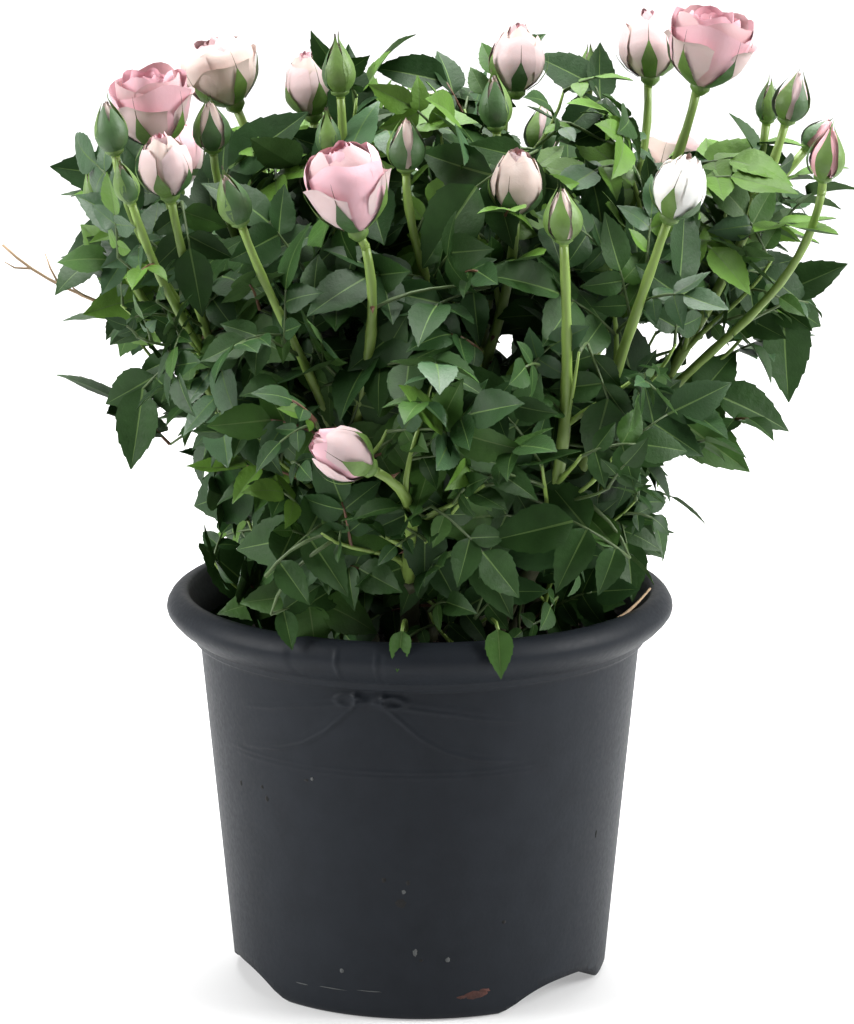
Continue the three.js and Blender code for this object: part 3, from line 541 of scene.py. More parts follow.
def leaflet_shape(fold, arch, wave, broad, teeth=7):
    """A pointed, serrated leaflet of unit length: top skin, underside and pale midrib."""
    def half_width(t):
        return broad * 1.54 * max(t, 0) ** 0.62 * (1 - t) ** 1.1

    def surface(across, t, lift=0.0):
        side = abs(across)
        z = side * tan(fold) - arch * t * t * 0.5 + lift
        z += wave * sin(t * 8 + (1.5 if across > 0 else 0)) * side * 2
        return across, t * (1 - 0.1 * abs(arch)), z

    vertices, faces, skins = [], [], []

    def put(*where):
        vertices.append(surface(*where))
        return len(vertices) - 1

    for skin in (0, 1):
        drop = -0.011 * skin
        strips = []
        for sign in (1, -1):
            rib = [put(0 if skin else sign * (0.015 - 0.013 * i / teeth), i / teeth, drop)
                   for i in range(teeth)]
            rib.append(put(0, 1, drop))
            strips.append(rib)
            edge, middle = [], []
            for i in range(teeth):
                notch, tooth, vein = i / teeth, min((i + 0.85) / teeth, 0.97), (i + 0.45) / teeth
                edge.append(put(sign * half_width(notch + 0.01) * (0.975 if i else 0.6), notch))
                edge.append(put(sign * half_width(tooth) * 1.03, tooth + 0.005))
                if not skin:
                    middle.append(put(sign * half_width(vein) * 0.55, vein, 0.016))
            edge.append(rib[-1])
            for i in range(teeth):
                a, b, c = edge[2 * i:2 * i + 3]
                if skin:
                    made = [(rib[i], a, b), (rib[i], b, c), (rib[i], c, rib[i + 1])]
                else:
                    m = middle[i]
                    made = [(rib[i], m, rib[i + 1]), (rib[i], a, m), (a, b, m), (b, c, m),
                            (m, c, rib[i + 1])]
                for face in made:
                    if len(set(face)) == 3:
                        faces.append(face[::-1] if (sign < 0) != bool(skin) else face)
                        skins.append(skin)
        if not skin:
            right, left = strips
            for i in range(teeth):
                faces.append((left[i], right[i], right[i + 1], left[i + 1]))
                skins.append(2)
    return np.array(vertices), faces, skins


SHAPES = [leaflet_shape(fold, arch, wave, broad) for fold, arch, wave, broad in (
    (0.12, 0.25, 0.02, 0.6), (0.3, 0.5, 0.03, 0.56), (0.2, 0.1, 0.045, 0.62),
    (0.42, 0.35, 0.02, 0.52), (0.08, 0.7, 0.03, 0.6), (0.25, -0.15, 0.03, 0.55))]


def put_leaflet(mesh, base, direction, normal, length, shape, slot):
    vertices, faces, skins = SHAPES[shape]
    across = unit(np.cross(direction, normal))
    up = np.cross(across, direction)
    placed = base + (vertices * length) @ np.array([across, direction, up])
    mesh.add(placed, faces, [(slot, UNDERSIDE, RIB)[s] for s in skins])


def draw_leaf(random):
    return [(random() - 0.5) * 0.7, (random() - 0.5) * 0.6, 0.8 + 0.4 * random(),
            (random() - 0.5) * 1.6, 0.5 + random()]


def leaf_frame(stem, share, azimuth, draw, scale):
    """A leaf's root, the middle and end of its stalk, its heading and normal, and its size."""
    turn, spread, size, roll, droop = draw
    root, tangent = stem.point(share), stem.tangent(share)
    angle = (LEAF_SPREAD + spread) * (1 - 0.4 * share * share)
    direction = tangent * cos(angle) + out_of_stem(tangent, azimuth + turn) * sin(angle)
    length = RACHIS * size * scale
    sink = LEAF_DROOP * droop
    end = root + direction * length - UP * sink * length
    end_direction = unit(direction - UP * 2 * sink)
    facing = unit(vec(root[0], root[1], 0)) + UP + vec(0, -LEAF_FRONTWARD, 0)
    facing = unit(facing - end_direction * np.dot(facing, end_direction))
    normal = rotated(facing, end_direction, roll)
    return root, root + direction * length / 2, end, end_direction, normal, LEAFLET * size * scale


def leaf_points(placed):
    """The points by which a leaf is judged: its tips and the middles of its leaflets."""
    root, middle, end, direction, normal, size = placed
    across = np.cross(direction, normal)
    tips = [end + direction * size * k for k in (0.3, 0.65, 1.0)]
    for sign in (1, -1):
        tips += [end + direction * size * 0.4 + across * sign * size * 0.3,
                 middle + (across * sign + direction * 0.35) * size * 0.75,
                 middle + (across * sign + direction * 0.35) * size * 0.4]
    return np.array([*tips, end])


def is_inside_crown(points):
    z = points[:, 2]
    middle = np.interp(z, CROWN[:, 0], CROWN[:, 1])
    radius = np.interp(z, CROWN[:, 0], CROWN[:, 2])
    if (np.hypot(points[:, 0] - middle, points[:, 1]) > radius).any() or z.max() > CROWN[-1, 0]:
        return False
    own = np.hypot(points[:, 0], points[:, 1])
    inside_pot = (own < LIP_INNER_RADIUS - 7) & (z > COMPOST_TOP + 1.5)
    on_rim = (z < POT_HEIGHT + 2) & (own > LIP_INNER_RADIUS - 7) & (own < RIM_RADIUS + 2)
    return bool(((z > LOWEST_LEAF) | inside_pot).all() and not on_rim.any())


opening_lines = [(SIGHT, SIGHT + (vec(x, 0, z) - SIGHT) * 1.12, radius + 1.4)
                 for x, z, radius in OPENINGS]
for name, order, low in SHOWN_STEMS:
    mass = masses[MASS_NAMES.index(name)]
    stem = [mass.main, *mass.flowering][order]
    for t in np.linspace(low, 0.95, 12):
        opening_lines.append((SIGHT, stem.point(t) + (SIGHT - stem.point(t)) * 0.004, 4.0))


def is_clear(points):
    """True where the points leave the crown's openings open and its shown stems in sight."""
    return distances(points, opening_lines).min() > 0


def leaf_cover(placed):
    """More points of a leaf: along its stalk and its side leaflets."""
    root, middle, end, direction, normal, size = placed
    across = np.cross(direction, normal)
    low, high = root * 0.56 + middle * 0.38 + end * 0.06, root * 0.06 + middle * 0.38 + end * 0.56
    points = [low, high, end + direction * size * 0.85]
    for sign in (1, -1):
        heading = unit(across * sign + direction * 0.55)
        points += [high + heading * size * k for k in (0.45, 0.86)]
        points += [low + heading * size * k for k in (0.35, 0.66)]
    return np.array(points)


centres = np.zeros((0, 3))
HEAD_ROOM, LEAF_ROOM = 2.0, 8.5


def crowding(points):
    """How much a leaf would push into the leaves and flowers around it."""
    cost = np.maximum(0, HEAD_ROOM - distances(points, head_segments)).sum() * 2
    if len(centres):
        near = np.linalg.norm(points[:, None, :] - centres[None], axis=-1)
        cost += np.maximum(0, LEAF_ROOM - near).sum() * 0.25
    return cost


LEAF_PIECES = ["left", "centre", "right_front", "right", "back", "low"]
leaf_meshes = {name: Mesh() for name in LEAF_PIECES}
stalks = Mesh()
pick = make_random(LEAF_SEED)
leaf_total = [0]
# The chance up to which a leaf is deep, dark or middle green, the longest leaf of three leaflets,
# and the costs of a leaf that is left out and of one that does.
SHADE_LIMITS, THREE_LEAFLETS, WORST_COST, GOOD_COST = (0.28, 0.66, 0.86), 17, 9.0, 5


def leaf_mesh(index):
    """The piece that a mass's leaves go into."""
    return leaf_meshes[LEAF_PIECES[index // 3 if masses[index].heads else 5]]


def grow_leaf(mesh, placed, young):
    root, middle, end, direction, normal, size = placed
    steps = [((1 - t) ** 2) * root + 2 * t * (1 - t) * middle + t * t * end
             for t in (0, 0.25, 0.5, 0.75, 1)]
    stalks.tube(steps, [0.75, 0.62, 0.55, 0.5, 0.42], 5, RED if pick() < 0.15 else STALK)
    # Leaves deep inside the crown are dealt darker greens as painted shade for the crown's dark
    # inside. Leaves lower down lean to darker greens and higher ones to lighter, and high leaves
    # are often young yellow-green.
    depth = np.hypot(end[0] - 10, end[1]) / np.interp(end[2], CROWN[:, 0], CROWN[:, 2])
    chance = (pick() + (young - 0.45) * 0.42) * (0.55 if depth < 0.62 else 1)
    slot = int(np.searchsorted(SHADE_LIMITS, chance, side="right"))
    if young > 0.62 and pick() < 0.5 or pick() < 0.05:
        slot = YOUNG
    across = unit(np.cross(direction, normal))

    def lay(base, heading, length):
        tilt = rotated(normal, heading, (pick() - 0.5) * 0.5)
        sag = unit(heading - UP * 0.25 * pick())
        tilt = unit(tilt - sag * np.dot(tilt, sag))
        put_leaflet(mesh, base, sag, tilt, length, int(pick() * len(SHAPES)) % len(SHAPES),
                    slot if pick() < 0.85 else min(slot + 1, COOL))

    lay(end, direction, size * (1.02 + 0.16 * pick()))
    pairs = ((3, 0.86), (1, 0.66)) if size > THREE_LEAFLETS else ((2, 0.8),)
    for place, share in pairs:
        for sign in (1, -1):
            heading = unit(across * sign + direction * (0.4 + 0.3 * pick()))
            lay(steps[place], heading, size * share * (0.9 + 0.2 * pick()))
    leaf_total[0] += 1


def place_leaf(mesh, stem, share, azimuth, draw, shrink, young):
    """Grows the leaf at the size and turn that leave it the most room, or none."""
    global centres
    best, best_cost = None, WORST_COST
    for scale in (1, 0.8, 0.65, 0.5):
        for turn in (0, 0.6, -0.6, 1.2, -1.2):
            trial = leaf_frame(stem, share, azimuth + turn, draw, scale * shrink)
            points = leaf_points(trial)
            if not (is_inside_crown(points) and is_clear(points) and is_clear(leaf_cover(trial))):
                continue
            cost = crowding(points) + (1 - scale) * 7
            if cost < best_cost:
                best, best_cost = trial, cost
        if best is not None and best_cost < GOOD_COST:
            break
    if best is None:
        return
    grow_leaf(mesh, best, young)
    stem.last = max(stem.last, share)
    centres = np.concatenate([centres, leaf_points(best)])


def line_up(mass, mesh, stem, begin, bare_end, step, size=1.0):
    """Leaves along a stem, a step apart and a turn on from each other."""
    start = mass.random() * 2 * pi
    i, s = 0, begin
    while s < stem.length - bare_end:
        share = s / stem.length
        height = stem.point(share)[2]
        place_leaf(mesh, stem, share, start + i * LEAF_TURN, draw_leaf(mass.random),
                   (1 - 0.25 * share) * size, (height - 200) / 150)
        i, s = i + 1, s + step


def neck_under(head):
    """The bare length under a flower."""
    return NECK_FRONT if head[2][1] <= NECK_FRONT_Y else NECK_INSIDE


def grow_outer_leaf(name, tip, heading, size, flat):
    """A leaf that reaches a given tip, on a fine twig from the nearest of its mass's stems."""
    global centres
    index = MASS_NAMES.index(name)
    mass = masses[index]
    heading = unit(vec(*heading))
    end = vec(*tip) - heading * size * 1.08
    inward = unit(vec(*mass.main.point(0.5)[:2], end[2]) - end)
    root = end - unit(heading * 1.2 - inward * 0.6 + UP * 0.5) * size * 0.85
    stems_near = [(np.linalg.norm(stem.point(t) - root), stem, t)
                  for stem in [mass.main, *mass.shoots, *mass.flowering, *mass.twigs]
                  for t in np.linspace(0.1, 0.9, 17)]
    _, stem, t = min(stems_near, key=lambda found: found[0])
    start = stem.point(t)
    stem.last = max(stem.last, t)
    along = unit(root - start)
    mass.outer.append(
        Curve(start, unit(stem.tangent(t) * 0.4 + along), root, unit(heading * 0.4 + along)))
    if flat:
        facing = UP * 1.4 + vec(0, -0.1, 0)
    else:
        facing = unit(vec(tip[0], tip[1], 0)) * 0.3 + UP * 0.7 + vec(0, -1.1, 0)
    normal = unit(facing - heading * np.dot(facing, heading))
    placed = (root, (root + end) / 2 + UP * size * 0.06, end, heading, normal, size)
    grow_leaf(leaf_mesh(index), placed, 0.3)
    centres = np.concatenate([centres, leaf_points(placed)])


for plan in OUTER_LEAVES:
    grow_outer_leaf(*plan)

# Two leaflets hang over the rim on their own stalks: base, heading, length, shape.
RIM_LEAVES = [((29.5, -92.5, 161.0), (0.06, -0.52, -0.85), 19.0, 1),
              ((-6.5, -93.0, 160.5), (-0.12, -0.56, -0.82), 16.0, 3)]
for base, heading, length, shape in RIM_LEAVES:
    base, heading = vec(*base), unit(vec(*heading))
    inner = base * vec(0.72, 0.72, 0) + UP * 150
    way = Curve(inner, UP, base, unit(heading + vec(0, -1, 0)))
    stalks.tube(way.points(6), [0.7] * 7, 5, GREEN)
    normal = vec(0, -1, 0.6)
    put_leaflet(leaf_meshes["low"], base, heading, unit(normal - heading * np.dot(normal, heading)),
                length, shape, MIDDLE)

# The bare length at the foot of each kind of stem, and what a fine twig's stem must have past it.
MAIN_BARE, SIDE_BARE, SHOOT_BARE, TWIG_BARE, LOW_BARE, FINE_BARE = 8, 14, 15, 18, 22, 9
SHORTEST_REST = 16
TO_TIP = -1

for index, mass in enumerate(masses):
    mesh = leaf_mesh(index)
    if not mass.heads:
        line_up(mass, mesh, mass.main, LOW_BARE, TO_TIP, LOW_INTERNODE, LOW_LEAF_SHARE)
        continue
    for stem, head in zip([mass.main, *mass.flowering], mass.heads):
        bare = MAIN_BARE if stem is mass.main else SIDE_BARE
        line_up(mass, mesh, stem, bare, neck_under(head), INTERNODE)
    for group, bare in ((mass.shoots, SHOOT_BARE), (mass.twigs, TWIG_BARE)):
        for stem in group:
            line_up(mass, mesh, stem, bare, TO_TIP, TWIG_INTERNODE)

# Finer twigs grow on from the stems, by the same rule at a smaller size.
for index, mass in enumerate(masses):
    mesh = leaf_mesh(index)
    for stem in mass.shoots + mass.flowering + [mass.main]:
        shares = (0.3, 0.55, 0.78) if stem in mass.shoots else (0.25, 0.5)
        size, step, leaf_size = 0.62, 10.0, 0.78
        if not mass.heads:
            shares, size, step, leaf_size = (0.1, 0.3, 0.5, 0.75), 0.75, 9.0, 0.95
        for share in shares:
            if mass.heads and stem.length * (1 - share) < SHORTEST_REST:
                continue
            twig = twig_of(stem, share, mass.random, size)
            if not is_inside_crown(twig.points(5)[2:]):
                continue
            grown = leaf_total[0]
            line_up(mass, mesh, twig, FINE_BARE, TO_TIP, step, leaf_size)
            if leaf_total[0] > grown:
                mass.fine.append(twig)
                stem.last = max(stem.last, share)

# ---------------- stems and canes

stems = Mesh()
rough = make_random(STEM_SEED)
WOBBLE = [0.94 + 0.12 * rough() for _ in range(997)]


def grow_stem(curve, thick, thin, slot, sides=8, step=7.0, whole=True):
    """An uneven, knotted stem: the whole line, or as far as its last leaf."""
    upto = 1.0 if whole else min(1.0, curve.last + 0.015)
    count = max(4, int(curve.length * upto / step))
    points = curve.points(count, upto)
    radii = [thick + (thin - thick) * i / count for i in range(count + 1)]
    radii = [r * (1.12 if i % 3 == 1 else 1.0) for i, r in enumerate(radii)]
    offset = int(rough() * 900)
    stems.tube(points, radii, sides, slot,
               wobble=lambda i, j: WOBBLE[(offset + 13 * i + 5 * j) % len(WOBBLE)])


def grow_prickles(curve, radius, count):
    for _ in range(count):
        share = 0.1 + 0.8 * rough()
        tangent = curve.tangent(share)
        out = out_of_stem(tangent, rough() * 2 * pi)
        base = curve.point(share) + out * radius * 0.6
        tip = base + out * 3.2 - tangent * 1.2
        stems.tube([base, base * 0.45 + tip * 0.55, tip], [1.1, 0.45, 0.06], 5, RED)


for mass in masses:
    if not mass.heads:
        grow_stem(mass.main, 1.5, 0.6, GREEN, sides=6, whole=False)
        for stem in mass.fine:
            grow_stem(stem, 0.8, 0.5, GREEN, sides=5, whole=False)
        continue
    grow_stem(mass.limb, 4.1, 3.1, OLD, sides=12, step=3.0)
    grow_prickles(mass.limb, 3.5, 3)
    grow_stem(mass.main, 2.7, 1.6, GREEN)
    grow_prickles(mass.main, 2.0, 3)
    for stem in mass.flowering:
        grow_stem(stem, 1.9, 1.5, GREEN)
    for stem in mass.shoots + mass.twigs:
        if stem.last:
            grow_stem(stem, 1.2, 0.55, GREEN, sides=6, whole=False)
    for stem in mass.fine:
        grow_stem(stem, 0.8, 0.45, STALK, sides=5, whole=False)
    for stem in mass.outer:
        grow_stem(stem, 0.8, 0.5, STALK, sides=5)
    for stem in mass.dry:
        grow_stem(stem, 1.1, 0.5, DRY, sides=6)
        for share, turn in ((0.62, 2.0), (0.74, -1.2), (0.86, 2.4)):
            out = unit(out_of_stem(stem.tangent(share), turn) + stem.tangent(share) * 1.4)
            base = stem.point(share)
            stems.tube([base, base + out * 7, base + out * 11 + UP * 2], [0.5, 0.4, 0.2], 5, DRY)

# Two dead straws lie along the inside of the rim, with scraps of dry leaf.
for start, leaving, end, arriving, radius in (
        ((40, -70, 143), (1, 0.1, 0.25), (83, -34, 152), (0.6, 1, 0.1), 1.3),
        ((58, -68, 151), (1, 0.3, 0.3), (90, -22, 160), (0.5, 1, 0.3), 1.0)):
    straw = Curve(vec(*start), unit(vec(*leaving)), vec(*end), unit(vec(*arriving)))
    stems.tube(straw.points(14), [radius - 0.04 * i for i in range(15)], 6, DRY)
for start, end in (((-2, -78, 144), (14, -84, 149)), ((10, -80, 145), (26, -76, 143)),
                   ((-30, -76, 143), (-18, -82, 146)), ((52, -62, 145), (66, -58, 150))):
    start, end = vec(*start), vec(*end)
    stems.tube([start, (start + end) / 2 + UP * 1.5, end], [0.9, 0.8, 0.3], 5, DRY)

# ---------------- buds and blooms

petals, sepals = Mesh(), Mesh()
bloom_random = make_random(FLOWER_SEED)


def put_sheet(mesh, origin, axis, turn, shape, rows, columns, slots):
    """A curved sheet about a flower's axis. shape(u, v) gives radius, angle and height."""
    u_axis, v_axis = frame_of(axis)
    vertices, faces, colours = [], [], []
    for i in range(rows + 1):
        for j in range(columns + 1):
            r, angle, z = shape(2 * j / columns - 1, i / rows)
            angle += turn
            vertices.append(origin + axis * z
                            + (u_axis * cos(angle) + v_axis * sin(angle)) * r)
    for i in range(rows):
        for j in range(columns):
            a = i * (columns + 1) + j
            faces.append((a, a + 1, a + columns + 2, a + columns + 1))
            colours.append(slots[min(i * len(slots) // rows, len(slots) - 1)])
    mesh.add(vertices, faces, colours)


def outline(shares, radii):
    """A flower's outline, rounded off: its radius as a share of the widest, at each height."""
    fine = np.interp(np.linspace(0, 1, 101), shares, radii)
    ends = np.concatenate([np.full(5, fine[0]), fine, np.full(5, fine[-1])])
    smooth = np.convolve(ends, np.ones(11) / 11, "valid")
    return lambda share: float(np.interp(share, np.linspace(0, 1, 101), smooth))


OUTLINES = {
    "egg": outline([0, 0.08, 0.25, 0.5, 0.75, 0.9, 1], [0.22, 0.5, 0.8, 0.97, 1.0, 0.8, 0.42]),
    "goblet": outline([0, 0.08, 0.25, 0.5, 0.75, 0.92, 1], [0.22, 0.5, 0.8, 0.97, 1.0, 0.96, 0.88]),
    "bloom": outline([0, 0.08, 0.25, 0.5, 0.7, 0.88, 1], [0.22, 0.52, 0.86, 1.0, 0.95, 0.68, 0.3]),
    "opening": outline([0, 0.1, 0.3, 0.5, 0.72, 0.9, 1], [0.3, 0.68, 0.96, 1.0, 0.82, 0.5, 0.3]),
    "bud": outline([0, 0.1, 0.3, 0.5, 0.72, 0.9, 1], [0.46, 0.82, 1.0, 0.9, 0.58, 0.24, 0.06]),
}
# Each ring of petals: count, share of the reach and of the height, half breadth, lip.
RINGS = {
    "bloom": [(3, 1.03, 0.72, 0.8, 0.13), (3, 0.97, 0.92, 1.1, 0.07), (3, 0.85, 0.99, 1.2, 0.03),
              (3, 0.68, 1.0, 1.25, 0.0), (3, 0.5, 0.98, 1.3, 0.0), (3, 0.32, 0.96, 1.5, 0.0),
              (2, 0.15, 0.93, 2.2, 0.0)],
    "egg": [(3, 1.03, 0.66, 0.85, 0.08), (3, 0.97, 0.93, 1.15, 0.02), (3, 0.85, 0.99, 1.25, 0.0),
            (3, 0.62, 1.0, 1.4, 0.0), (3, 0.4, 0.99, 1.6, 0.0), (2, 0.2, 0.97, 2.2, 0.0)],
    "opening": [(3, 1.0, 0.86, 1.0, 0.06), (3, 0.88, 0.97, 1.2, 0.02), (3, 0.66, 1.0, 1.3, 0.0),
                (3, 0.42, 0.98, 1.5, 0.0), (2, 0.2, 0.96, 2.2, 0.0)],
    "bud": [(3, 0.92, 0.94, 1.25, 0.0), (2, 0.6, 0.99, 1.8, 0.0)],
    "smallBud": [(3, 0.85, 0.92, 1.4, 0.0)],
}

# Blooms of their own look: mass and order of the flower, its form, its width and height against
# its kind's, and its shift.
LOOKS = {
    ("front_left", 0): ("egg", 0.98, 1.16, (-2, 0, 2.5)),
    ("upper_left", 0): ("egg", 0.96, 0.92, (0, 0, 0)),
    ("left", 0): ("goblet", 0.96, 1.0, (0, 0, 0)),
    ("upper_right", 0): ("goblet", 1.06, 1.0, (1, 0, 0)),
    ("upper_right", 1): ("opening", 1.2, 1.06, (1, 0, 0)),
    ("back_right", 1): ("goblet", 1.0, 1.0, (0, 0, 0)),
    ("right", 3): ("bud", 1.0, 1.0, (0, 0, 4)),
    ("upper_centre", 0): ("opening", 1.08, 1.05, (4, 0, 0)),
}


def petal_shape(form, reach, tall, share, rise, half_angle, lip, seed):
    """A cupped petal that follows the flower's outline, one edge over its neighbour."""
    def shape(u, v):
        z = tall * rise * v * (1 - 0.13 * abs(u) ** 2.4)
        r = reach * share * form(z / tall) * (1 + 0.045 * u)
        r += reach * lip * max(0, v - 0.74) ** 1.5 * 8 * (0.8 + 0.2 * abs(u))
        r += reach * 0.05 * sin(u * 5 + seed * 9) * v * v
        angle = u * half_angle * (0.5 + 0.5 * min(1, v * 2.0))
        z -= reach * lip * max(0, v - 0.86) ** 1.2 * 6
        return max(r, 0.1), angle, z + reach * 0.075 * sin(u * 4 + seed * 20) * v * v

    return shape


def sepal_shape(closed, form, reach, tall, length, broad, flare, seed):
    """A sepal that lies on the outermost petals and runs out in a fine tip."""
    def shape(u, v):
        z = length * v
        body = reach * form(min(1, z / tall)) * (1.05 if closed else 1.07) + 0.5
        r = body + flare * max(0, v - 0.35) ** 1.6
        if closed:
            taper = max(0.0, 1 - max(0, v - 0.42) / 0.6) ** (0.6 if broad > 0.7 else 1.15)
            return max(r, 0.25), u * (broad * min(1, 0.75 + 0.7 * v) * taper), z * (1 + 0.04 * seed)
        wide = 0.0
        if v < 0.3:
            wide = broad * (0.62 + 0.9 * v)
        elif v < 0.66:
            wide = broad * 0.89 * (1 - (v - 0.3) / 0.38) ** 1.1
        return r, u * max(wide, 0.36 * (1.15 - v)) / r, z

    return shape


def put_flower(place, order, kind, tone, at, tilt):
    height, width, hip, sepal_length, broad, sepal_flare = KINDS[kind]
    closed = kind in CLOSED
    usual = ("bud" if closed else kind, 0.86 if tone == "green" else 1.0, 1.0, (0, 0, 0))
    look, widen, heighten, shift = LOOKS.get((place, order), usual)
    form = OUTLINES[look]
    top = vec(*at)
    axis, base = axis_of(tilt), top + vec(*shift)
    height, reach = height * heighten, width * widen / 2
    hip_height = height * 0.17
    hips = [(0, 1.5), (0.15, hip * 0.6), (0.45, hip * 0.98), (0.75, hip), (1.0, hip * 0.9)]
    sepals.tube([base + axis * (hip_height * t - 1.5) for t, _ in hips], [r for _, r in hips], 10,
                SEPAL_GREEN)
    stems.tube([top - axis * 2, top + (base - top) * 0.5, base + axis * 0.5],
               [1.7, 1.65, 1.7], 8, GREEN)
    origin = base + axis * (hip_height - 2.4)
    tall = height - hip_height + 2.4
    spin = bloom_random() * 6
    rings = RINGS["egg" if look == "egg" else kind]
    for depth, (count, share, rise, angle, lip) in enumerate(rings):
        for i in range(count):
            turn = spin + depth * 0.7 + 2 * pi * i / count + (bloom_random() - 0.5) * 0.3
            if closed and tone == "green":
                share *= 0.86  # each petal of a green bud lies inside the one before
            shape = petal_shape(form, reach, tall, share, rise * (0.96 + 0.06 * bloom_random()),
                                angle, lip, bloom_random())
            colour = ROSE if closed and tone == "pink" else TONES[tone][min(depth, 4)]
            put_sheet(petals, origin, axis, turn, shape, 12, 10, [colour])
    if closed and tone != "cream":
        broad = 0.8 if tone == "green" else 0.46
    green_rows, tip_rows = (9, 1) if closed else (7, 5)
    for i in range(5):
        seed = bloom_random()
        flare = sepal_flare * bloom_random()
        shape = sepal_shape(closed, form, reach, tall, sepal_length * tall * (0.85 + 0.25 * seed),
                            broad, flare, seed)
        green = SEPAL_DARK if seed < 0.35 else SEPAL_GREEN
        put_sheet(sepals, origin, axis, spin + 2 * pi * i / 5 + seed * 0.25, shape,
                  14, 4, [green] * green_rows + [SEPAL_TIP] * tip_rows)


for mass in masses:
    for order, head in enumerate(mass.heads):
        put_flower(mass.name, order, *head)

# ---------------- pieces of the plant

foliage_nodes = ["foliage_" + name for name in MASS_NAMES]
cane_nodes = ["cane_" + name for name in MASS_NAMES]
low_nodes = ["low_shoot_%d" % (i + 1) for i in range(LOW_COUNT)]

for i, (name, mesh) in enumerate(leaf_meshes.items()):
    piece = mesh.build("leaves_" + name, LEAF_MATERIALS)
    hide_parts(*(low_nodes if name == "low" else foliage_nodes[3 * i:3 * i + 3]))
for name, mesh, slots in (("leaf_stalks", stalks, STEM_MATERIALS),
                          ("petals", petals, PETAL_MATERIALS),
                          ("sepals", sepals, SEPAL_MATERIALS)):
    piece = mesh.build(name, slots)
    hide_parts(*foliage_nodes)
piece = stems.build("canes_and_stems", STEM_MATERIALS)
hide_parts(*cane_nodes, *low_nodes)

# ---------------- pot

pot_plastic = material("pot_plastic", (0.0125, 0.0152, 0.0194), 0.5, bump=0.12, bump_scale=520,
                       mottle=0.1, specular=0.12)


def at_angle(r, angle, z):
    """A point about the pot's axis. The angle runs from the front."""
    return r * sin(angle), -r * cos(angle), z


def wall_radius(z):
    return BASE_RADIUS + (NECK_RADIUS - BASE_RADIUS) * z / NECK_Z


# The moulded drapery hangs from a knot: degrees from the knot, and height.
KNOT = (-12.5, 131.0)
UPPER_FOLD = ([3, 6, 20, 30, 42], [130.6, 129.2, 126, 123, 120.5])
LOWER_FOLD = ([3.5, 5.5, 12.7, 19.5, 27, 42], [130, 126.5, 116.8, 110.8, 107.4, 104.2])


def relief(angle, z):
    """Moulded relief on the front wall, as a height over the wall. angle runs from the front."""
    x = degrees(angle) - KNOT[0]
    height = 0.0
    for level, depth in ((102.6, 0.25), (100.4, 0.2)):
        if abs(x) < 50:
            height += depth * exp(-(((z - level) / 0.5) ** 2)) * min(1, (50 - abs(x)) / 8)
    if abs(x) < 42:
        fade = min(1, (42 - abs(x)) / 12) * min(1, abs(x) / 3)
        for (turns, levels), depth in ((UPPER_FOLD, 0.45), (LOWER_FOLD, 0.65)):
            ahead, behind = (np.interp(abs(x) + step, turns, levels) for step in (1, -1))
            slope = abs(ahead - behind) / 3.0
            off = (z - np.interp(abs(x), turns, levels)) / hypot(1, slope)
            height += depth * fade * exp(-((off / 0.75) ** 2))
            height += 0.22 * fade * exp(-(((off - 2.2) / 1.5) ** 2))
    for side in (-1, 1):
        height += 1.1 * exp(-((((x - side * 3.6) / 0.8) ** 2) + ((z - KNOT[1] - 0.6) / 2.6) ** 4))
        loop = hypot((x - side * 5.2) / 3.4, (z - KNOT[1] + 0.2) / 2.2)
        height += 0.7 * exp(-(((loop - 1) / 0.35) ** 2))
    height += 0.8 * exp(-((x / 2.6) ** 2 + ((z - KNOT[1]) / 2.0) ** 2))
    return float(height)


def build_pot():
    profile = [(30, 0), (60, 0), (BASE_RADIUS - 3.5, 0), (BASE_RADIUS - 1.6, 0.5),
               (BASE_RADIUS - 0.5, 1.7), (wall_radius(4), 4)]
    levels = [8, 14, 22, 32, 42, 52, 62, 72, 82, 90, 96, 98.5]
    levels += [99.4 + 0.6 * i for i in range(59)] + [NECK_Z - 0.6]
    profile += [(wall_radius(z), z) for z in levels]
    for r, z, steps in (
            (LEDGE_RADIUS, NECK_Z, ((-0.3, 0.3), (0, 0.9), (0.3, 2.6), (1.2, 3.2))),
            (RIM_RADIUS, RIM_WIDEST_Z, ((-4.6, -6.5), (-1.8, -3.6), (-0.4, -1.6), (0, 0),
                                        (-0.3, 1.7), (-1.6, 4.1), (-3.2, 5.8))),
            (LIP_RADIUS, POT_HEIGHT, ((0, 0),)),
            (LIP_INNER_RADIUS, POT_HEIGHT, ((1.5, 0), (0.4, -0.8), (-0.4, -3), (-3.2, -8))),
            (NECK_RADIUS, POT_HEIGHT, ((-1.4, -14),)), (NECK_RADIUS, COMPOST_TOP, ((-1.8, -6),))):
        profile += [(r + out, z + up) for out, up in steps]
    turns = [radians(-72 + 0.5 * i) for i in range(241)]
    turns += [radians(48 + 3 * i) for i in range(1, 80)]
    sides = len(turns)
    vertices = [(0, 0, 0)]
    for r, z in profile:
        for angle in turns:
            x = degrees(angle)
            out = r + (relief(angle, z) if 99 < z < NECK_Z - 1 and -64 < x < 40 else 0)
            if NECK_Z + 2 < z < RIM_WIDEST_Z + 2 and r > LIP_RADIUS:
                out -= 0.5 * min(1, max(0, (x + 31) / 1.5), max(0, -7.5 - x))
                for rib in (-18.5, -9.4):
                    out += 0.75 * exp(-(((x - rib) / 0.42) ** 2))
            vertices.append(at_angle(out, angle, z))
    top = len(vertices)
    vertices.append((0, 0, COMPOST_TOP - 6))
    faces = [(0, 1 + (j + 1) % sides, 1 + j) for j in range(sides)]
    for first in range(1, top - sides, sides):
        faces += band(first, first + sides, sides)
    faces += [(top - sides + j, top - sides + (j + 1) % sides, top) for j in range(sides)]
    mesh = Mesh()
    mesh.add(vertices, faces)
    return mesh.build("pot_shell", [pot_plastic])


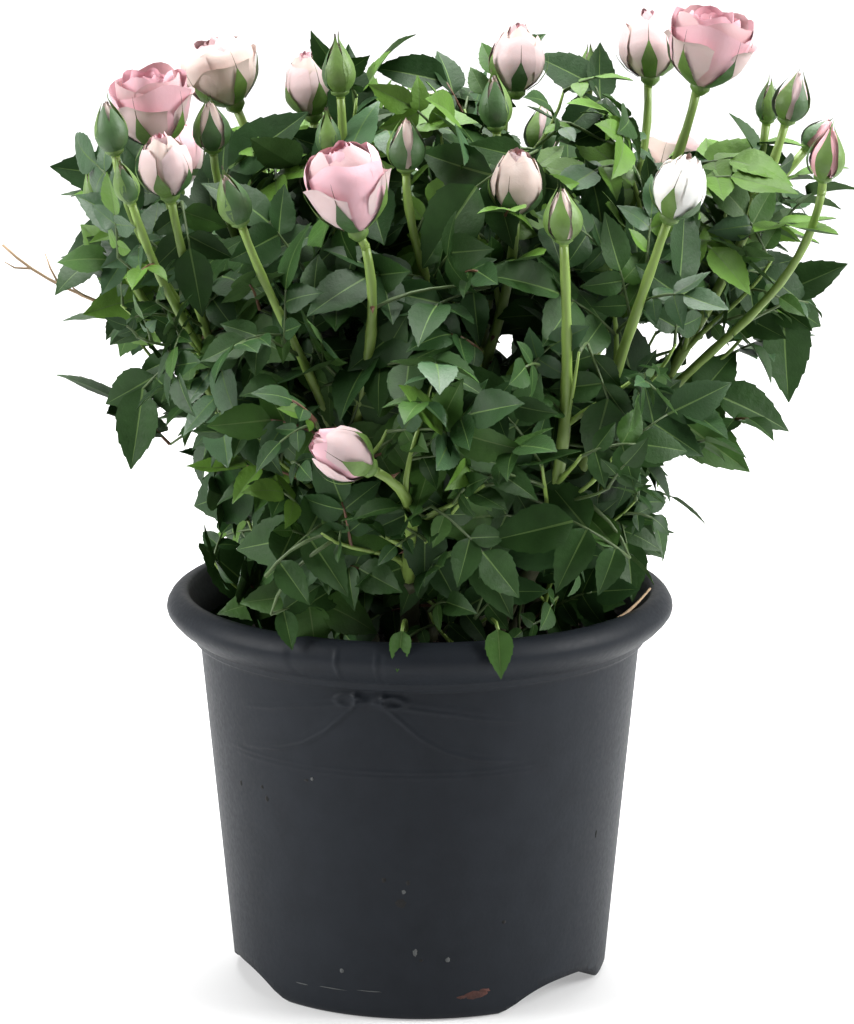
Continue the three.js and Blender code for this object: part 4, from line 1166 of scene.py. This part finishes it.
def arch_cutter(azimuth):
    """A round-topped tunnel that runs in from the wall, and lower as it goes."""
    half = BASE_RADIUS * sin(radians(ARCH_HALF_ANGLE))
    arch = [(-half * 1.12, -5), (-half * 1.1, 0)]
    steps = 28
    for i in range(steps + 1):
        t = -1 + 2 * i / steps
        rise = (1 - abs(t) ** 2.6) ** 1.1 if abs(t) < 1 else 0
        arch.append((t * half, ARCH_HEIGHT * rise + 0.02))
    arch += [(half * 1.1, 0), (half * 1.12, -5)]
    c, s = cos(radians(azimuth)), sin(radians(azimuth))
    vertices = []
    for depth, shrink in ((BASE_RADIUS + 10, 1.0), (ARCH_INNER_RADIUS + 6, 0.96),
                          (ARCH_INNER_RADIUS, 0.7)):
        vertices += [(x * c + depth * s, x * s - depth * c, z * shrink if z > 0 else z)
                     for x, z in arch]
    n = len(arch)
    faces = [tuple(reversed(range(n))), tuple(range(2 * n, 3 * n))]
    for ring in (0, n):
        for i in range(n):
            k = (i + 1) % n
            faces.append((ring + k, ring + n + k, ring + n + i, ring + i))
    mesh = Mesh()
    mesh.add(vertices, faces)
    return mesh.make("cutter", smooth=False)


def cut(piece, cutter):
    modifier = piece.modifiers.new("cut", "BOOLEAN")
    modifier.operation, modifier.object, modifier.solver = "DIFFERENCE", cutter, "MANIFOLD"
    graph = bpy.context.evaluated_depsgraph_get()
    made = bpy.data.meshes.new_from_object(piece.evaluated_get(graph))
    piece.modifiers.clear()
    piece.data = made
    bpy.data.objects.remove(cutter)


# Specks on the wall: degrees, height, size across and up, which mud.
SPECKS = [(-46.0, 84.7, 1.2, 1.4, 0), (-47.6, 89.1, 1.0, 0.9, 0), (-57.6, 87.4, 1.0, 1.3, 0),
          (-29.6, 97.1, 0.7, 0.8, 1), (-31.4, 96.2, 1.0, 0.6, 0), (-5.2, 49.0, 2.3, 2.0, 0),
          (-3.2, 57.7, 0.8, 1.2, 0), (-4.4, 54.0, 0.8, 1.0, 1), (-9.9, 58.6, 0.9, 1.1, 0),
          (24.8, 39.3, 1.0, 0.9, 0), (-1.3, 28.8, 0.9, 1.6, 1), (0.4, 25.6, 0.9, 0.6, 0),
          (8.2, 25.6, 0.9, 1.1, 1), (-23.4, 19.2, 0.8, 1.0, 1), (59.1, 65.9, 0.7, 1.8, 0),
          (16.9, 10.2, 5.2, 1.7, 2), (12.6, 9.6, 2.0, 0.8, 2), (19.5, 11.6, 2.6, 0.9, 2),
          (-38.0, 10.6, 3.2, 0.25, 1), (-27.0, 11.2, 6.0, 0.22, 1), (-15.0, 11.9, 5.0, 0.2, 1)]


def build_specks():
    mesh, draw = Mesh(), make_random(SPECK_SEED)
    for x, z, across, tall, slot in SPECKS:
        vertices, sides = [], 14
        for ring, lift in ((0.0, 0.28), (0.6, 0.22), (1.0, -0.05)):
            for i in range(sides if ring else 1):
                turn = 2 * pi * i / sides
                uneven = 0.75 + 0.5 * draw() if ring else 1
                height = z + sin(turn) * tall * ring * uneven
                angle = radians(x) + cos(turn) * across * ring * uneven / wall_radius(z)
                vertices.append(at_angle(wall_radius(height) + lift, angle, height))
        faces = [(0, 1 + i, 1 + (i + 1) % sides) for i in range(sides)]
        for i in range(sides):
            k = (i + 1) % sides
            faces.append((1 + i, 1 + sides + i, 1 + sides + k, 1 + k))
        mesh.add(vertices, faces, slot)
    return mesh.build("pot_specks", [
        material("mud_" + name, colour, roughness, bump=0.5, bump_scale=900, mottle=mottle)
        for name, colour, roughness, mottle in (("dark", (0.006, 0.006, 0.006), 0.9, 0.0),
                                                ("pale", (0.07, 0.075, 0.075), 0.8, 0.0),
                                                ("red", (0.055, 0.016, 0.01), 0.8, 0.5))])


pot = build_pot()
for azimuth in ARCH_AZIMUTHS:
    cut(pot, arch_cutter(azimuth))
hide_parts("pot")
piece = build_specks()

# ---------------- compost and litter

COMPOST_MATERIALS = [
    material("compost_dark", (0.014, 0.01, 0.008), 0.92, bump=1.0, bump_scale=420, mottle=0.5),
    material("compost_crumb", (0.045, 0.03, 0.02), 0.9, bump=0.8, bump_scale=600, mottle=0.5),
]
litter_random = make_random(LITTER_SEED)
CRUMB_CORNERS = [(1, 0, 0), (-1, 0, 0), (0, 1, 0), (0, -1, 0), (0, 0, 0.8), (0, 0, -0.8)]
CRUMB_FACES = [(0, 2, 4), (2, 1, 4), (1, 3, 4), (3, 0, 4),
               (2, 0, 5), (1, 2, 5), (3, 1, 5), (0, 3, 5)]


def build_compost():
    mesh = Mesh()
    rings, sides = 26, 96
    vertices, faces = [(0, 0, COMPOST_TOP - 0.4)], []
    for i in range(1, rings + 1):
        r = (NECK_RADIUS - WALL + 0.1) * i / rings
        for j in range(sides):
            angle = 2 * pi * j / sides
            bump = 0 if i == rings else (litter_random() - 0.6) * 2.4
            vertices.append(at_angle(r, angle, COMPOST_TOP - 0.6 + bump))
    for j in range(sides):
        k = (j + 1) % sides
        faces.append((0, 1 + j, 1 + k))
        for i in range(rings - 1):
            a, b = 1 + i * sides, 1 + (i + 1) * sides
            faces.append((a + j, b + j, b + k, a + k))
    mesh.add(vertices, [tuple(reversed(f)) for f in faces])
    for _ in range(420):
        angle, r = litter_random() * 2 * pi, 80 * sqrt(litter_random())
        size = 0.8 + 2.0 * litter_random() ** 2
        centre = vec(*at_angle(r, angle, COMPOST_TOP - 0.2 + size * 0.3))
        corners = [centre + vec(*[(litter_random() - 0.5) * 0.7 + d for d in corner]) * size
                   for corner in CRUMB_CORNERS]
        mesh.add(corners, CRUMB_FACES, 1 if litter_random() < 0.4 else 0)
    return mesh.build("compost_surface", COMPOST_MATERIALS, smooth=False)


piece = build_compost()
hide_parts("compost")

# ---------------- floor, light and camera

floor_material = material("studio_floor", (0.5, 0.5, 0.5), 0.9)
fill(floor_material.node_tree.nodes["Principled BSDF"], Emission_Color=(1.0, 1.0, 1.0, 1.0),
     Emission_Strength=0.35)
# The floor sweeps up behind into a wall.
sweep = [(-6000, 0)] + [(2200 + 1200 * sin(a), 1200 - 1200 * cos(a))
                        for a in [pi / 2 * i / 12 for i in range(13)]] + [(3400, 5000)]
sheet = Mesh()
sheet.add([(x, y, z) for y, z in sweep for x in (-6000, 6000)],
          [(2 * i, 2 * i + 1, 2 * i + 3, 2 * i + 2) for i in range(len(sweep) - 1)])
floor = sheet.make("studio_floor", [floor_material])

world = bpy.context.scene.world or bpy.data.worlds.new("studio")
bpy.context.scene.world = world
world.use_nodes = True
fill(world.node_tree.nodes["Background"], Color=(1.0, 1.0, 1.0, 1.0), Strength=0.14)


def light(name, place, aim, size, power, spread=180):
    """A round lamp, in metres, watts and degrees."""
    lamp = bpy.data.lights.new(name, "AREA")
    lamp.shape, lamp.size, lamp.energy = "DISK", size, power
    lamp.spread = radians(spread)
    holder = put_object(name, lamp)
    holder.location = place
    holder.rotation_euler = (Vector(aim) - Vector(place)).to_track_quat("-Z", "Y").to_euler()


CROWN_MIDDLE = (0, 0, 0.22)
light("left", (-1.5, -0.25, 0.85), CROWN_MIDDLE, 1.0, 6.2, 70)
light("right", (1.5, -0.2, 0.95), CROWN_MIDDLE, 1.0, 7.5, 70)
light("top", (0.1, 0.05, 1.9), (0, 0.3, 0.1), 1.2, 13, 80)
light("backdrop", (0, 1.1, 1.9), (0, 2.2, 0.3), 1.8, 110)

bpy.context.scene.view_settings.view_transform = "Standard"

camera = put_object("camera", bpy.data.cameras.new("camera"))
camera.data.sensor_width = 36.0
camera.data.lens = LENS
camera.data.clip_end = 50.0
camera.location = SIGHT * MM
camera.rotation_euler = (pi / 2 - CAMERA_DIP, 0.0, 0.0)
bpy.context.scene.camera = camera
